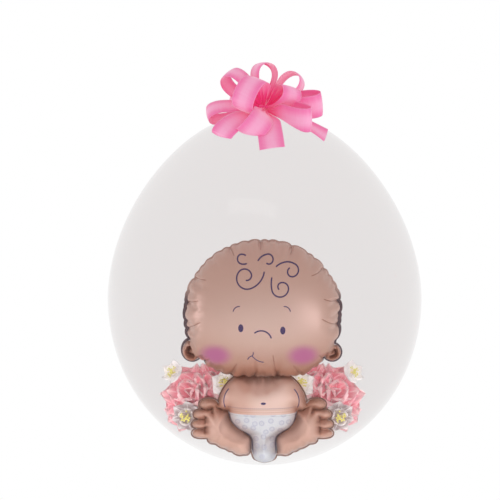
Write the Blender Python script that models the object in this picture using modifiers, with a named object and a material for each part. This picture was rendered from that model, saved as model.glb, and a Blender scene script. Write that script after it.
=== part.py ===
"""Clear stuffing balloon: a sealed balloon that stands neck up, a tie round its gathered neck and a pull bow.

The balloon is sealed, so it is one solid with its outer form. +Z is up, the front faces -Y, and the
origin is the middle of the small flat that the balloon rests on.
"""

import math

import bmesh
import bpy
from mathutils import Vector

# Driving dimensions, in metres

# The clear balloon
BALLOON_DIAMETER = 0.41
BELLY_HEIGHT = 0.2185  # from the widest ring down to where the round bottom would end
SHOULDER_HEIGHT = 0.2515  # from the widest ring up to where the shoulder would close
REST_DIAMETER = 0.064  # the flat on which it stands
BELLY_POWER = 2.02  # 2 is an ellipse, and more is squarer
SHOULDER_HEIGHT_POWER = 1.85
SHOULDER_RADIUS_POWER = 1.66
CROWN_DROP = 0.0115  # how far the neck and the bow weigh the crown down
CROWN_RADIUS = 0.055

# The gathered neck and the tail above the tie
NECK_DIAMETER = 0.022
THROAT_RISE = 0.004  # how far the film climbs into the neck
THROAT_LENGTH = 0.006
TAIL_HEIGHT = 0.020
TAIL_WALL = 0.0012  # several layers of gathered film
TAIL_CORE_DIAMETER = 0.0055  # the floor of the funnel, where the tie draws the film together
MOUTH_DIAMETER = 0.026
MOUTH_FLARE = 1.4  # above 1, the funnel opens late
LIP_DIAMETER = 0.0028
LIP_START = math.radians(216)  # where round its own section the rolled lip leaves the inner wall
LIP_SWEEP = math.radians(252)
PLEATS = 10
NECK_PLEAT_DEPTH = 0.16  # as a share of the neck's radius
MOUTH_PLEAT_DEPTH = 0.13
PLEAT_REACH = 0.040  # how far the pleats run out on to the shoulder

# The tie round the neck
TIE_HEIGHT = 0.006
TIE_THICKNESS = 0.0014
TIE_BEVEL = 0.0004
KNOT_DIAMETER = 0.008

# The pull bow
RIBBON_WIDTH = 0.032
RIBBON_THICKNESS = 0.0006
GATHERED_WIDTH = 0.006  # the ribbon's width where it is gathered in the core
WIDENING_LENGTH = 0.040  # along which it spreads to its full width
CORE_DIAMETER = 0.017
LEG_GAP = 0.0015  # from a loop's middle line to each of its two legs in the core
LOOP_START = 0.04  # where in its half turn a loop leaves the core
END_START = 0.004  # how far from the core's middle a free end begins

FIT_GAP = 0.0003  # between touching pieces
RIBBON_CLEARANCE = 0.0030  # between the ribbon and the balloon's film
LIFT_SOFTNESS = 0.003  # how gently the ribbon is eased off the film
MERGE_DISTANCE = 0.000001  # between points of a union that are one

# How finely the faceted surfaces are cut
BALLOON_SEGMENTS = 60
BELLY_ROWS = 13
SHOULDER_ROWS = 15
THROAT_ROWS = 4
THROAT_CROWDING = 1.5  # above 1, the throat's rows crowd towards the neck
TAIL_ROWS = 4
LIP_ROWS = 4
TIE_SEGMENTS = 36
KNOT_SEGMENTS = 16
KNOT_RINGS = 8
CORE_SEGMENTS = 16
CORE_RINGS = 10
LOOP_ROWS = 14
END_ROWS = 5

# Derived sizes

balloon_radius = BALLOON_DIAMETER / 2
rest_radius = REST_DIAMETER / 2
neck_radius = NECK_DIAMETER / 2
throat_radius = neck_radius + 2 * THROAT_LENGTH  # the foot of the throat
tail_core_radius = TAIL_CORE_DIAMETER / 2
mouth_radius = MOUTH_DIAMETER / 2
lip_radius = LIP_DIAMETER / 2
knot_radius = KNOT_DIAMETER / 2
core_radius = CORE_DIAMETER / 2

rest_share = (rest_radius / balloon_radius) ** BELLY_POWER
widest_z = BELLY_HEIGHT * (1 - rest_share) ** (1 / BELLY_POWER)


def film_height(radius):
    """The height of the balloon's upper side at this distance from its axis, outside the neck."""
    share = min(radius / balloon_radius, 1.0)
    shoulder = (1 - share**SHOULDER_RADIUS_POWER) ** (1 / SHOULDER_HEIGHT_POWER)
    throat = THROAT_RISE * math.exp((neck_radius - max(radius, neck_radius)) / THROAT_LENGTH)
    drop = CROWN_DROP * math.exp(-((radius / CROWN_RADIUS) ** 2))
    return widest_z + SHOULDER_HEIGHT * shoulder + throat - drop


neck_bottom_z = film_height(neck_radius)
tie_z = neck_bottom_z + TIE_HEIGHT / 2
tail_bottom_z = neck_bottom_z + TIE_HEIGHT
mouth_z = tail_bottom_z + TAIL_HEIGHT

tie_inner_radius = neck_radius * (1 + NECK_PLEAT_DEPTH) + FIT_GAP
tie_outer_radius = tie_inner_radius + TIE_THICKNESS
knot_y = -(tie_outer_radius + knot_radius / 2)
core_y = knot_y - knot_radius - FIT_GAP - core_radius
core = Vector((0, core_y, tie_z))
bulge_span = 3 * math.sqrt(3) / 4  # from the least to the most of sin(2t) sin(t)^2 along a loop
ribbon_keep_radius = mouth_radius * (1 + MOUTH_PLEAT_DEPTH) + lip_radius + RIBBON_CLEARANCE

# The loops of the bow, seen from the front: the way each points (right, back, up), the way its ribbon's
# width runs, how far its tip lies from the core, and how far it opens.
LOOPS = (
    ((-0.36, -0.82, 0.35), (0.78, -0.50, -0.28), 0.062, 0.042),
    ((-0.74, 0.06, 0.67), (-0.34, -0.82, -0.38), 0.066, 0.022),
    ((-0.02, -0.02, 0.99), (0.33, -0.94, 0.05), 0.058, 0.024),
    ((0.73, -0.06, 0.68), (-0.20, -0.95, 0.18), 0.061, 0.024),
    ((0.66, -0.62, 0.42), (0.72, 0.66, -0.20), 0.052, 0.020),
    ((0.98, -0.04, 0.09), (0.00, -0.42, 0.90), 0.073, 0.019),
    ((0.74, -0.68, -0.20), (0.26, -0.50, 0.76), 0.077, 0.020),
    ((-0.24, -0.88, -0.40), (0.75, 0.10, -0.66), 0.076, 0.030),
    ((-0.98, -0.08, -0.10), (0.40, -0.80, -0.44), 0.074, 0.018),
    ((-0.66, -0.66, -0.42), (0.60, -0.62, -0.50), 0.085, 0.018),
    ((-0.68, 0.70, 0.08), (0.10, 0.10, 0.90), 0.062, 0.020),
    ((0.68, 0.70, 0.08), (-0.10, 0.10, 0.90), 0.062, 0.020),
)

# The ribbon's free ends: the way each points, the way its width runs, its length, and how far its cut
# slants.
ENDS = (
    ((0.08, -0.80, -0.50), (0.96, 0.10, 0.12), 0.100, -0.006),
    ((0.84, -0.36, -0.41), (0.50, 0.68, 0.54), 0.092, -0.013),
)


def eased_above(value, least):
    """The value, or a little more than the least one where it would be below it."""
    above = value - least
    return least + (above + math.hypot(above, LIFT_SOFTNESS)) / 2


def clear_of_balloon(point):
    """The point, lifted off the shoulder and pushed out from the neck and the tail."""
    radius = math.hypot(point.x, point.y)
    aside = eased_above(radius, ribbon_keep_radius) / max(radius, FIT_GAP)
    x = point.x * aside
    y = point.y * aside
    return Vector((x, y, eased_above(point.z, film_height(radius * aside) + RIBBON_CLEARANCE)))


def smooth_step(value):
    value = min(1.0, max(0.0, value))
    return value * value * (3 - 2 * value)


def across(middle, width_way, distance):
    """Two points across the ribbon: narrow where it is gathered, and at full width from there on."""
    share = smooth_step((distance - core_radius / 2) / WIDENING_LENGTH)
    half = (GATHERED_WIDTH + (RIBBON_WIDTH - GATHERED_WIDTH) * share) / 2
    return [middle - width_way * half, middle + width_way * half]


def axes_of(direction, width_hint):
    """Unit vectors: outward, the ribbon's width, and the side to which the loop opens."""
    outward = Vector(direction).normalized()
    hint = Vector(width_hint)
    width_way = (hint - outward * hint.dot(outward)).normalized()
    return outward, width_way, outward.cross(width_way)


def loop_rows(direction, width_hint, length, opening):
    """Points across the ribbon, row by row, once round a loop that starts and ends in the core."""
    outward, width_way, opening_way = axes_of(direction, width_hint)
    rows = []
    for step in range(LOOP_ROWS + 1):
        turn = math.pi * (LOOP_START + (1 - 2 * LOOP_START) * step / LOOP_ROWS)
        out = length * math.sin(turn) ** 2
        bulge = math.sin(2 * turn) * math.sin(turn) ** 2 / bulge_span
        aside = opening * bulge + LEG_GAP * math.cos(turn)
        middle = core + outward * out + opening_way * aside
        rows.append([clear_of_balloon(point) for point in across(middle, width_way, out)])
    return rows


def end_rows(direction, width_hint, length, slant):
    """Points across the ribbon, row by row, along a free end that leaves the core and is cut at a slant."""
    outward, width_way, _ = axes_of(direction, width_hint)
    rows = []
    for step in range(END_ROWS + 1):
        share = step / END_ROWS
        out = END_START + (length - END_START) * share
        left, right = across(core + outward * out, width_way, out)
        slide = outward * slant / 2 * share**2
        rows.append([clear_of_balloon(left - slide), clear_of_balloon(right + slide)])
    return rows


def material(name, colour, roughness, alpha=1.0):
    made = bpy.data.materials.new(name)
    made.use_nodes = True
    shader = made.node_tree.nodes["Principled BSDF"]
    shader.inputs["Base Color"].default_value = (*colour, 1)
    shader.inputs["Roughness"].default_value = roughness
    shader.inputs["Metallic"].default_value = 0
    shader.inputs["Alpha"].default_value = alpha
    return made


def link(obj, collection, finish):
    obj.data.materials.clear()
    obj.data.materials.append(finish)
    collection.objects.link(obj)
    return obj


def turned(name, profile, segments, collection, finish):
    """A closed solid turned about +Z. The profile holds (radius, height) pairs from the top axis point
    down the outer side to the bottom axis point, or once round a ring's section."""
    mesh = bpy.data.meshes.new(name)
    points = [(radius, 0, height) for radius, height in profile]
    edges = [(i, i + 1) for i in range(len(points) - 1)]
    if profile[0][0] > 0:
        edges.append((len(points) - 1, 0))
    mesh.from_pydata(points, edges, [])
    obj = link(bpy.data.objects.new(name, mesh), collection, finish)
    screw = obj.modifiers.new("turn", "SCREW")
    screw.axis = "Z"
    screw.angle = math.tau
    screw.steps = segments
    screw.render_steps = segments
    screw.use_merge_vertices = True
    screw.merge_threshold = 0.00001
    screw.use_smooth_shade = True
    return obj


def applied(obj):
    """Makes the object's evaluated shape its mesh, and drops its modifiers."""
    bpy.context.view_layer.update()
    graph = bpy.context.evaluated_depsgraph_get()
    mesh = bpy.data.meshes.new_from_object(obj.evaluated_get(graph))
    obj.modifiers.clear()
    obj.data = mesh
    return obj


def belly_profile():
    """From just under the widest ring down to the edge of the flat."""
    start = math.asin((rest_radius / balloon_radius) ** (BELLY_POWER / 2))
    points = []
    for row in range(1, BELLY_ROWS + 1):
        angle = math.pi / 2 + (start - math.pi / 2) * row / BELLY_ROWS
        radius = balloon_radius * math.sin(angle) ** (2 / BELLY_POWER)
        height = widest_z - BELLY_HEIGHT * math.cos(angle) ** (2 / BELLY_POWER)
        points.append((radius, height))
    points[-1] = (rest_radius, 0.0)
    return points


def shoulder_profile():
    """From the foot of the throat down to the widest ring."""
    start = math.acos((throat_radius / balloon_radius) ** (SHOULDER_RADIUS_POWER / 2))
    points = []
    for row in range(SHOULDER_ROWS + 1):
        angle = start * (1 - row / SHOULDER_ROWS)
        radius = balloon_radius * math.cos(angle) ** (2 / SHOULDER_RADIUS_POWER)
        points.append((radius, film_height(radius)))
    return points


def throat_profile():
    """From the bottom of the neck out to the foot of the throat, which it leaves out."""
    points = []
    for row in range(THROAT_ROWS):
        radius = neck_radius + (throat_radius - neck_radius) * (row / THROAT_ROWS) ** THROAT_CROWDING
        points.append((radius, film_height(radius)))
    return points


def tail_profile():
    """The funnel above the tie: up its inner side, round the rolled lip and down its outer side."""
    outer = []
    for row in range(TAIL_ROWS + 1):
        share = row / TAIL_ROWS
        radius = neck_radius + (mouth_radius - neck_radius) * share**MOUTH_FLARE
        outer.append((radius, tail_bottom_z + TAIL_HEIGHT * share))
    inner = [(radius - TAIL_WALL, height) for radius, height in outer]
    inner[0] = (tail_core_radius, tail_bottom_z + TAIL_WALL)
    lip = []
    for row in range(LIP_ROWS + 1):
        angle = LIP_START - LIP_SWEEP * row / LIP_ROWS
        height = mouth_z + lip_radius * (1 + math.sin(angle))
        lip.append((mouth_radius + lip_radius * math.cos(angle), height))
    return [(0.0, tail_bottom_z + TAIL_WALL), *inner[:-1], *lip, *reversed(outer[:-1])]


def pleat_depth(radius, height):
    """How deep the pleats are at a point of the film, as a share of its radius."""
    if height >= tail_bottom_z:
        up = smooth_step((height - tail_bottom_z) / TAIL_HEIGHT)
        return NECK_PLEAT_DEPTH + (MOUTH_PLEAT_DEPTH - NECK_PLEAT_DEPTH) * up
    out = (radius - neck_radius) / PLEAT_REACH
    return NECK_PLEAT_DEPTH * (1 - smooth_step(out))


def gather(mesh):
    """Draws the turned neck and tail into pleats."""
    for vertex in mesh.vertices:
        radius = math.hypot(vertex.co.x, vertex.co.y)
        if vertex.co.z < widest_z or radius > neck_radius + PLEAT_REACH:
            continue
        angle = math.atan2(vertex.co.y, vertex.co.x)
        grow = 1 + pleat_depth(radius, vertex.co.z) * math.cos(PLEATS * angle)
        vertex.co.x *= grow
        vertex.co.y *= grow


def make_balloon(collection):
    film = material("clear_film", (0.86, 0.85, 0.84), 0.08, alpha=0.3)
    profile = [
        *tail_profile(),
        *throat_profile(),
        *shoulder_profile(),
        *belly_profile(),
        (0.0, 0.0),
    ]
    balloon = applied(turned("balloon", profile, BALLOON_SEGMENTS, collection, film))
    gather(balloon.data)
    balloon.data.shade_smooth()


def ball(name, segments, rings, radius, centre, collection, finish):
    bpy.ops.mesh.primitive_uv_sphere_add(segments=segments, ring_count=rings, radius=radius, location=centre)
    made = bpy.context.object
    made.name = name
    bpy.context.collection.objects.unlink(made)
    return link(made, collection, finish)


def keep_for_boolean(obj):
    """Keeps an object that only serves another one's Boolean out of the picture."""
    obj.hide_render = True
    obj.display_type = "WIRE"


def make_tie(collection, cutters, ribbon):
    """A narrow ribbon wound round the neck, with its knot in front."""
    section = []
    for radius, inset in ((tie_inner_radius, TIE_BEVEL), (tie_outer_radius, -TIE_BEVEL)):
        flat_edge = (radius + inset, TIE_HEIGHT / 2)
        side_edge = (radius, TIE_HEIGHT / 2 - TIE_BEVEL)
        section.extend([side_edge, flat_edge] if inset > 0 else [flat_edge, side_edge])
    section.extend([(radius, -height) for radius, height in reversed(section)])
    section = [(radius, tie_z + height) for radius, height in section]
    tie = turned("neck_tie", section, TIE_SEGMENTS, collection, ribbon)
    knot = ball("neck_tie_knot", KNOT_SEGMENTS, KNOT_RINGS, knot_radius, (0, knot_y, tie_z), cutters, ribbon)
    keep_for_boolean(knot)
    join = tie.modifiers.new("knot", "BOOLEAN")
    join.operation = "UNION"
    join.object = knot


def fill_hollows(obj):
    """Drops the small sealed shells that folded ribbons enclose and the flaps that the union leaves."""
    bm = bmesh.new()
    bm.from_mesh(obj.data)
    bmesh.ops.triangulate(bm, faces=bm.faces[:])
    bmesh.ops.remove_doubles(bm, verts=bm.verts[:], dist=MERGE_DISTANCE)
    waiting = set(bm.faces)
    shells = []
    while waiting:
        shell = []
        front = [waiting.pop()]
        while front:
            face = front.pop()
            shell.append(face)
            sides = [edge.link_faces for edge in face.edges if len(edge.link_faces) == 2]
            near = {other for pair in sides for other in pair} & waiting
            waiting -= near
            front.extend(near)
        shells.append(shell)
    shells.sort(key=len)
    inner = [face for shell in shells[:-1] for face in shell]
    bmesh.ops.delete(bm, geom=inner, context="FACES")
    bm.to_mesh(obj.data)
    bm.free()


def add_strip(bm, rows):
    grid = [[bm.verts.new(point) for point in row] for row in rows]
    for lower, upper in zip(grid, grid[1:]):
        for i in range(len(lower) - 1):
            bm.faces.new((lower[i], lower[i + 1], upper[i + 1], upper[i]))


def make_bow(collection, cutters, ribbon):
    """One ribbon in loops, gathered in the core, with its two free ends."""
    bow = ball("ribbon_bow", CORE_SEGMENTS, CORE_RINGS, core_radius, core, collection, ribbon)
    strips = [loop_rows(*loop) for loop in LOOPS] + [end_rows(*end) for end in ENDS]
    for number, rows in enumerate(strips):
        mesh = bpy.data.meshes.new(f"ribbon_strip_{number}")
        bm = bmesh.new()
        add_strip(bm, rows)
        bm.to_mesh(mesh)
        bm.free()
        strip = bpy.data.objects.new(mesh.name, mesh)
        keep_for_boolean(strip)
        cutters.objects.link(strip)
        shell = strip.modifiers.new("thickness", "SOLIDIFY")
        shell.thickness = RIBBON_THICKNESS
        shell.offset = 0
        shell.use_even_offset = False
        join = bow.modifiers.new(f"strip_{number}", "BOOLEAN")
        join.operation = "UNION"
        join.solver = "MANIFOLD"
        join.object = strip
    fill_hollows(applied(bow))
    bow.data.shade_smooth()


def main():
    for obj in list(bpy.data.objects):
        bpy.data.objects.remove(obj)
    parts = bpy.data.collections.new("stuffing_balloon")
    cutters = bpy.data.collections.new("cutters")
    bpy.context.scene.collection.children.link(parts)
    bpy.context.scene.collection.children.link(cutters)
    ribbon = material("pink_ribbon", (0.90, 0.25, 0.50), 0.35)
    make_balloon(parts)
    make_tie(parts, cutters, ribbon)
    make_bow(parts, cutters, ribbon)


main()
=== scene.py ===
"""The looks of the clear stuffing balloon: its film, the pull bow, the foil figure and the flowers in it.

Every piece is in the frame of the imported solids: metres, +Z up, the front facing -Y.
"""

import math

import bpy
import numpy as np
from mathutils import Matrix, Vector, geometry


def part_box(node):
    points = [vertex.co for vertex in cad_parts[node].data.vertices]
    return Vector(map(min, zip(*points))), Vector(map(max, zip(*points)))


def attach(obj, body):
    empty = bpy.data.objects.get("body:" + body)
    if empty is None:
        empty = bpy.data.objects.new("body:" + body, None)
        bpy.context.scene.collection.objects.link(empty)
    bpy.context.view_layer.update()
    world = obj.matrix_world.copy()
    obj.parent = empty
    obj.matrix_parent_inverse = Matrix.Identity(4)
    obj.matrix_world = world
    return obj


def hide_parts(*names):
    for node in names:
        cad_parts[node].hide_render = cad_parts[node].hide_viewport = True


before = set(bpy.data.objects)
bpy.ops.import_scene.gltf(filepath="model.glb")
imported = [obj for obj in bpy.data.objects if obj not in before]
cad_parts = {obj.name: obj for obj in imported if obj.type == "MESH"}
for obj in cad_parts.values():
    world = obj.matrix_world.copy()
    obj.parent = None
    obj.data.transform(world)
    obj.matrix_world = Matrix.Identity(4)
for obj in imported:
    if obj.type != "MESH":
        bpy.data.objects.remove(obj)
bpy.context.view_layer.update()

BODY = "root"
balloon_low, balloon_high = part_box("balloon")
tie_low, tie_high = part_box("neck_tie")

# The clear film, as in the solid that it replaces
balloon_radius = (balloon_high[0] - balloon_low[0]) / 2
BELLY_HEIGHT = 0.2185
SHOULDER_HEIGHT = 0.2515
REST_RADIUS = 0.032
BELLY_POWER = 2.02
SHOULDER_HEIGHT_POWER = 1.85
SHOULDER_RADIUS_POWER = 1.66
CROWN_DROP = 0.0115
CROWN_RADIUS = 0.055
NECK_RADIUS = 0.011
THROAT_RISE = 0.004
THROAT_LENGTH = 0.006
TIE_HEIGHT = 0.006
TAIL_HEIGHT = 0.020
TAIL_WALL = 0.0005
MOUTH_RADIUS = 0.013
LIP_RADIUS = 0.0014
LIP_START = math.radians(225)
LIP_SWEEP = math.radians(-270)
MOUTH_FLARE = 1.4  # above 1, the funnel opens late
PLEATS = 10
FINE_PLEATS = 27
FINE_PLEAT_SHARE = 0.15
PLEAT_WANDER = 3  # how many times round the neck the fine pleats crowd together
NECK_PLEAT_DEPTH = 0.16
MOUTH_PLEAT_DEPTH = 0.13
PLEAT_REACH = 0.040
FURROW_DEPTH = 0.0009
FILM_SEGMENTS = 216
FILM_ROWS = 70
THROAT_ROWS = 17
THROAT_ROW_POWER = 1.5  # above 1, the rows are closer at the neck
TAIL_ROWS = 12
FLAT_RINGS = (0.7, 0.35, 0.01)  # as shares of the flat's radius
FILM_COLOUR = (0.20, 0.075, 0.06)
FILM_ALPHA = 0.15
# Painted light: the film is paler towards its foot
FILM_PAINTED_LIGHT = (0.62, 0.55, 0.54)
FILM_PAINTED_LIGHT_Z = (0.070, 0.010)
GATHERED_COLOUR = (0.72, 0.68, 0.66)
GATHERED_ALPHA = 0.34

# The pull bow, as in the solid that it replaces
RIBBON_WIDTH = 0.032
RIBBON_THICKNESS = 0.0003
GATHERED_WIDTH = 0.006
WIDENING_LENGTH = 0.040
CORE_RADIUS = 0.0085
CORE_BUNDLE_RADIUS = 0.00782
CORE_FOLDS = 12
CORE_FOLD_DEPTH = 0.07
CORE_ROWS = 17
CORE_SEGMENTS = 48
LEG_GAP = 0.0015  # from the middle of the core to each leg of a loop
FIT_GAP = 0.0003
RIBBON_CLEARANCE = 0.0030
LIFT_SOFTNESS = 0.003  # how gently the ribbon bends where it is kept off the film
TIE_THICKNESS = 0.0014
KNOT_REACH = 0.006  # how far the tie's knot stands out from the tie
LOOP_START = 0.04
END_START = 0.004
LOOP_BULGE = 3 * math.sqrt(3) / 4  # so that a loop is as wide as its opening where it is widest
LOOP_ROWS = 64
END_ROWS = 40
ACROSS = 14
RIBBON_CROWN = 0.0012  # how far the middle of the ribbon stands proud of its edges
RIBBON_FOLDS = 3
FOLD_HEIGHT = 0.0022

# The bow's loops: direction (right, back, up), the ribbon's width direction, length and opening
LOOPS = (
    ((-0.36, -0.82, 0.35), (0.78, -0.50, -0.28), 0.062, 0.042),
    ((-0.74, 0.06, 0.67), (-0.34, -0.82, -0.38), 0.066, 0.022),
    ((-0.02, -0.02, 0.99), (0.33, -0.94, 0.05), 0.058, 0.024),
    ((0.73, -0.06, 0.68), (-0.20, -0.95, 0.18), 0.061, 0.024),
    ((0.66, -0.62, 0.42), (0.72, 0.66, -0.20), 0.052, 0.020),
    ((0.98, -0.04, 0.09), (0.00, -0.42, 0.90), 0.073, 0.019),
    ((0.74, -0.68, -0.20), (0.26, -0.50, 0.76), 0.077, 0.020),
    ((-0.24, -0.88, -0.40), (0.75, 0.10, -0.66), 0.076, 0.030),
    ((-0.98, -0.08, -0.10), (0.40, -0.80, -0.44), 0.074, 0.018),
    ((-0.66, -0.66, -0.42), (0.60, -0.62, -0.50), 0.085, 0.018),
    ((-0.68, 0.70, 0.08), (0.10, 0.10, 0.90), 0.062, 0.020),
    ((0.68, 0.70, 0.08), (-0.10, 0.10, 0.90), 0.062, 0.020),
)
# Its free ends: direction, width direction, length and how far the cut slants
ENDS = (
    ((0.08, -0.80, -0.50), (0.96, 0.10, 0.12), 0.100, -0.006),
    ((0.84, -0.36, -0.41), (0.50, 0.68, 0.54), 0.092, -0.013),
)
RIBBON_COLOUR = (0.78, 0.30, 0.52)
RIBBON_DEEP = (0.74, 0.11, 0.36)
# the colour of the painted highlight along the ribbon's middle, and of its selvage
RIBBON_SHEEN_AND_SELVAGE = (0.84, 0.49, 0.69)
RIBBON_GLOW = (1.0, 0.02, 0.14)  # the light that comes through the thin ribbon
RIBBON_GLOW_STRENGTH = 0.18
RIBBON_CORE_SHADE = (0.82, 0.02, 0.27)  # painted shade near the core, where the loops crowd together
RIBBON_SHADE = 0.9
RIBBON_SHADE_REACH = (0.012, 0.044)  # from the core
# Noise along a ribbon: how fine it is across, along and out from the core
THREAD_SCALE = (900.0, 40.0, 0.0)
WEAVE_SCALE = (60.0, 500.0, 0.0)
WEAVE_SHARE = 0.22
PAINTED_SHEEN_BAND = (RIBBON_WIDTH * 0.44, RIBBON_WIDTH * 0.06)  # the painted highlight fades in over this, from the edge
PAINTED_SHEEN_SHARE = 0.56
SELVAGE = (RIBBON_WIDTH * 0.46, RIBBON_WIDTH * 0.49)
SELVAGE_SHARE = 0.35

# The foil figure, drawn flat: x to the right, z up, from the middle of its lower edge
FIGURE_X = -0.0026
FIGURE_Y = -0.020
FIGURE_Z = 0.0024
FOIL_SPACING = 0.0026
LINE_CLEARANCE = FOIL_SPACING * 0.55  # between the inner points and every line
MERGE_DISTANCE = FOIL_SPACING / 200
WELD_REACH = FOIL_SPACING / 10
TINY = 1e-9
BATCH = 2000  # points
OUTLINE_STEPS = 360
CURVE_STEPS = 12
HEAD_CENTRE_Z = 0.1995
HEAD_HALF_WIDTH = 0.0995
GRID_HALF_WIDTH = HEAD_HALF_WIDTH * 1.2
HEAD_UP = 0.0914
HEAD_DOWN = 0.0885
HEAD_UP_POWER = 2.05
HEAD_DOWN_POWER = 2.6
# The ears' centres across and up, half widths and heights, and the radius of the fold in each
EARS = (
    (-0.0915, 0.1470, 0.0132, 0.0140, 0.0052),
    (0.0905, 0.1442, 0.0118, 0.0112, 0.0046),
)
EAR_FOLD_START = math.radians(-120)
EAR_FOLD_SWEEP = math.radians(200)
EAR_FOLD_STEPS = 24
TORSO_CENTRE_Z = 0.0710
TORSO_HALF_WIDTH = 0.0580
TORSO_UP = 0.0520
TORSO_DOWN = 0.0200
FOOT_OUTLINE = (
    (0.052, 0.0765),
    (0.066, 0.0720),
    (0.0745, 0.0670),
    (0.0770, 0.0530),
    (0.0760, 0.0375),
    (0.0710, 0.0260),
    (0.0585, 0.0205),
    (0.0480, 0.0150),
    (0.0380, 0.0105),
    (0.0280, 0.0075),
    (0.0190, 0.0090),
    (0.0130, 0.0165),
    (0.0130, 0.0355),
    (0.0260, 0.0515),
    (0.0400, 0.0695),
)
# The toes' centres across and up, and their half widths and heights
TOES = (
    (0.0700, 0.0755, 0.0128, 0.0076),
    (0.0765, 0.0620, 0.0138, 0.0070),
    (0.0790, 0.0492, 0.0134, 0.0068),
    (0.0785, 0.0372, 0.0140, 0.0064),
)
TOE_POWER = 2.3
TOE_WELD_START = 0.0900  # just outside the notch between two toes
TOE_WELD_ENDS = (0.0655, 0.0752, 0.0752)
TOE_WELD_HALF_HEIGHT = 0.0030  # of the short bar that ends each weld and rounds the toes
NAPPY_OUTLINE = (
    (0.0452, 0.0672),
    (0.0436, 0.0585),
    (0.0408, 0.0520),
    (0.0340, 0.0440),
    (0.0222, 0.0365),
    (0.0168, 0.0300),
    (0.0164, 0.0130),
    (0.0122, 0.0022),
    (0.0, -0.0020),
)
NAPPY_LEAN = 0.0026  # how far to the right of the middle the nappy's lowest point lies
NAPPY_WELD_END = 0.010  # the height at which the nappy's side welds stop
HIP_WELD = ((0.0452, 0.0672), (0.0515, 0.0675), (0.0600, 0.0730))
NOTCH_DEPTH = 0.0025
CREASE_NOTCH_DEPTH = 0.0031
NOTCH_PITCH = 0.0130
NOTCH_JITTER = 0.25
NOTCH_WIDTH = 0.0026
NOTCH_SEED = 3

# The creases that run in from the head's seam: angle round the head in degrees, length and lean in degrees
HEAD_CREASES = (
    (8, 0.022, -25),
    (35, 0.019, -17),
    (66, 0.010, 8),
    (91, 0.010, -4),
    (117, 0.011, 8),
    (154, 0.016, 30),
    (174, 0.018, 29),
    (194, 0.023, 23),
    (221, 0.014, 8),
    (244, 0.024, 4),
    (262, 0.018, -6),
    (283, 0.038, -2),
    (301, 0.020, 2),
    (322, 0.014, -12),
    (350, 0.027, -18),
)
CREASE_START = 0.0025  # how far in from the seam a crease starts
CREASE_WIDTH = 0.0019
CREASE_WIDTH_SHARES = (1.1, 0.6)  # at its start and its end
CREASE_DEPTH = 0.0016
CREASE_FADE_POWER = 0.7
CREASE_RIDGE_SHARE = 0.30  # the ridges beside a crease, as a share of its depth
CREASE_RIDGE_PLACE = 2.2  # and how many widths from its middle they lie
# The painted shade along each of the head's creases: its half width, strength and bow
CREASE_SHADE_HALF_WIDTH = 0.00055
CREASE_SHADE_STRENGTH = 0.8
CREASE_BOW = 0.0006
SEAM_WIDTH = 0.0048
SEAM_BODY_SHARE = 0.38  # how much of that width it has round the body and the ears
SEAM_FULL_Z = 0.175  # where the seam reaches its full width
SEAM_TOP_SHARE = 0.35  # and how much over the top of the head
SEAM_TOP_FADE = 0.04
SEAM_LEAST_WIDTH = 0.0005
SEAM_STRIP = (-0.15, 0.5, 1.0)  # its lines from under the film to its outer edge, as shares of its width
SEAM_GAP = -0.001  # the value that marks the seam where the film has its distance from the edge
FOIL_SWELL = 0.21  # how much larger than its flat outline the head's film is
FOIL_LEAST_SWELL = 0.17
BODY_TOP_Z = 0.095  # below this the film swells least, and above the neck most
BODY_TO_HEAD = 0.030
BODY_REACH = 0.035  # how far in from its edge the body is rounded at the start
HEAD_REACH = 0.090  # and the head
START_ROUND = 0.62  # how high that rounding is, as a share of its reach
SIM_SCALE = 10  # the cloth solver is steadier on a larger mesh
SIM_FRAMES = 20
SMOOTHING_STEPS = 8
HEAD_SMOOTHING = 0.3  # the head's share of the smoothing that the body gets
FOIL_CLOTH = {
    "quality": 5,
    "tension_stiffness": 60,
    "compression_stiffness": 60,
    "shear_stiffness": 20,
    "bending_stiffness": 0.05,
    "use_pressure": True,
    "uniform_pressure_force": 12,
    "shrink_min": -FOIL_LEAST_SWELL,
    "shrink_max": -FOIL_SWELL,
    "vertex_group_shrink": "swell",
    "vertex_group_mass": "held",
}

# The foil's colours, its painted shade and its painted light. Two heights, or two distances, are where a
# fade starts and where it ends
FOIL_COLOUR = (0.67, 0.425, 0.35)
# the colour of the painted light
FOIL_PAINTED_LIGHT = (0.90, 0.74, 0.67)
# the colour of the darker foil: by the seams partly the print's airbrushed edge and partly painted shade,
# elsewhere painted shade
FOIL_SHADE = (0.40, 0.18, 0.11)
# the colour of the painted shade along the head's creases
CREASE_SHADE_COLOUR = (0.30, 0.12, 0.08)
SEAM_COLOUR = (0.125, 0.100, 0.115)
SEAM_BODY_COLOUR = (0.22, 0.125, 0.10)
SEAM_BODY_Z = (0.135, 0.115)  # below this the seam has the body's colour
SEAM_LIGHT = (0.62, 0.46, 0.41)
SEAM_LIGHT_Z = (0.212, 0.234)  # above this the seam is lighter
SEAM_EDGE = (0.0, -0.0004)
# Darker by the seam and welds, partly the print's airbrushed edge and partly painted shade, and a broad
# painted shade towards the seam
BODY_SHADE_REACH = 0.0125
HEAD_SHADE_REACH = 0.0050
RIM_SHADE_REACH = 0.040
RIM_SHADE = 0.32
TOP_SHADE_SHARE = 0.1  # how much of the shade by the seam is left over the top of the head
NECK_Z = (0.110, 0.116)
EAR_X = (0.084, 0.090)
EAR_SHADE_SHARE = 0.2  # how much of the shade by the seam is left in the ears
FEET_SHADE_Z = (0.074, 0.066)
FEET_SEAM_SHARE = 0.7  # how much of the shade by the seam is left on the feet
FEET_SHADE = 0.14
# painted shade, darker low on the feet
FEET_LOW_Z = (0.060, 0.022)
FEET_LOW_SHADE = 0.48
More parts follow.
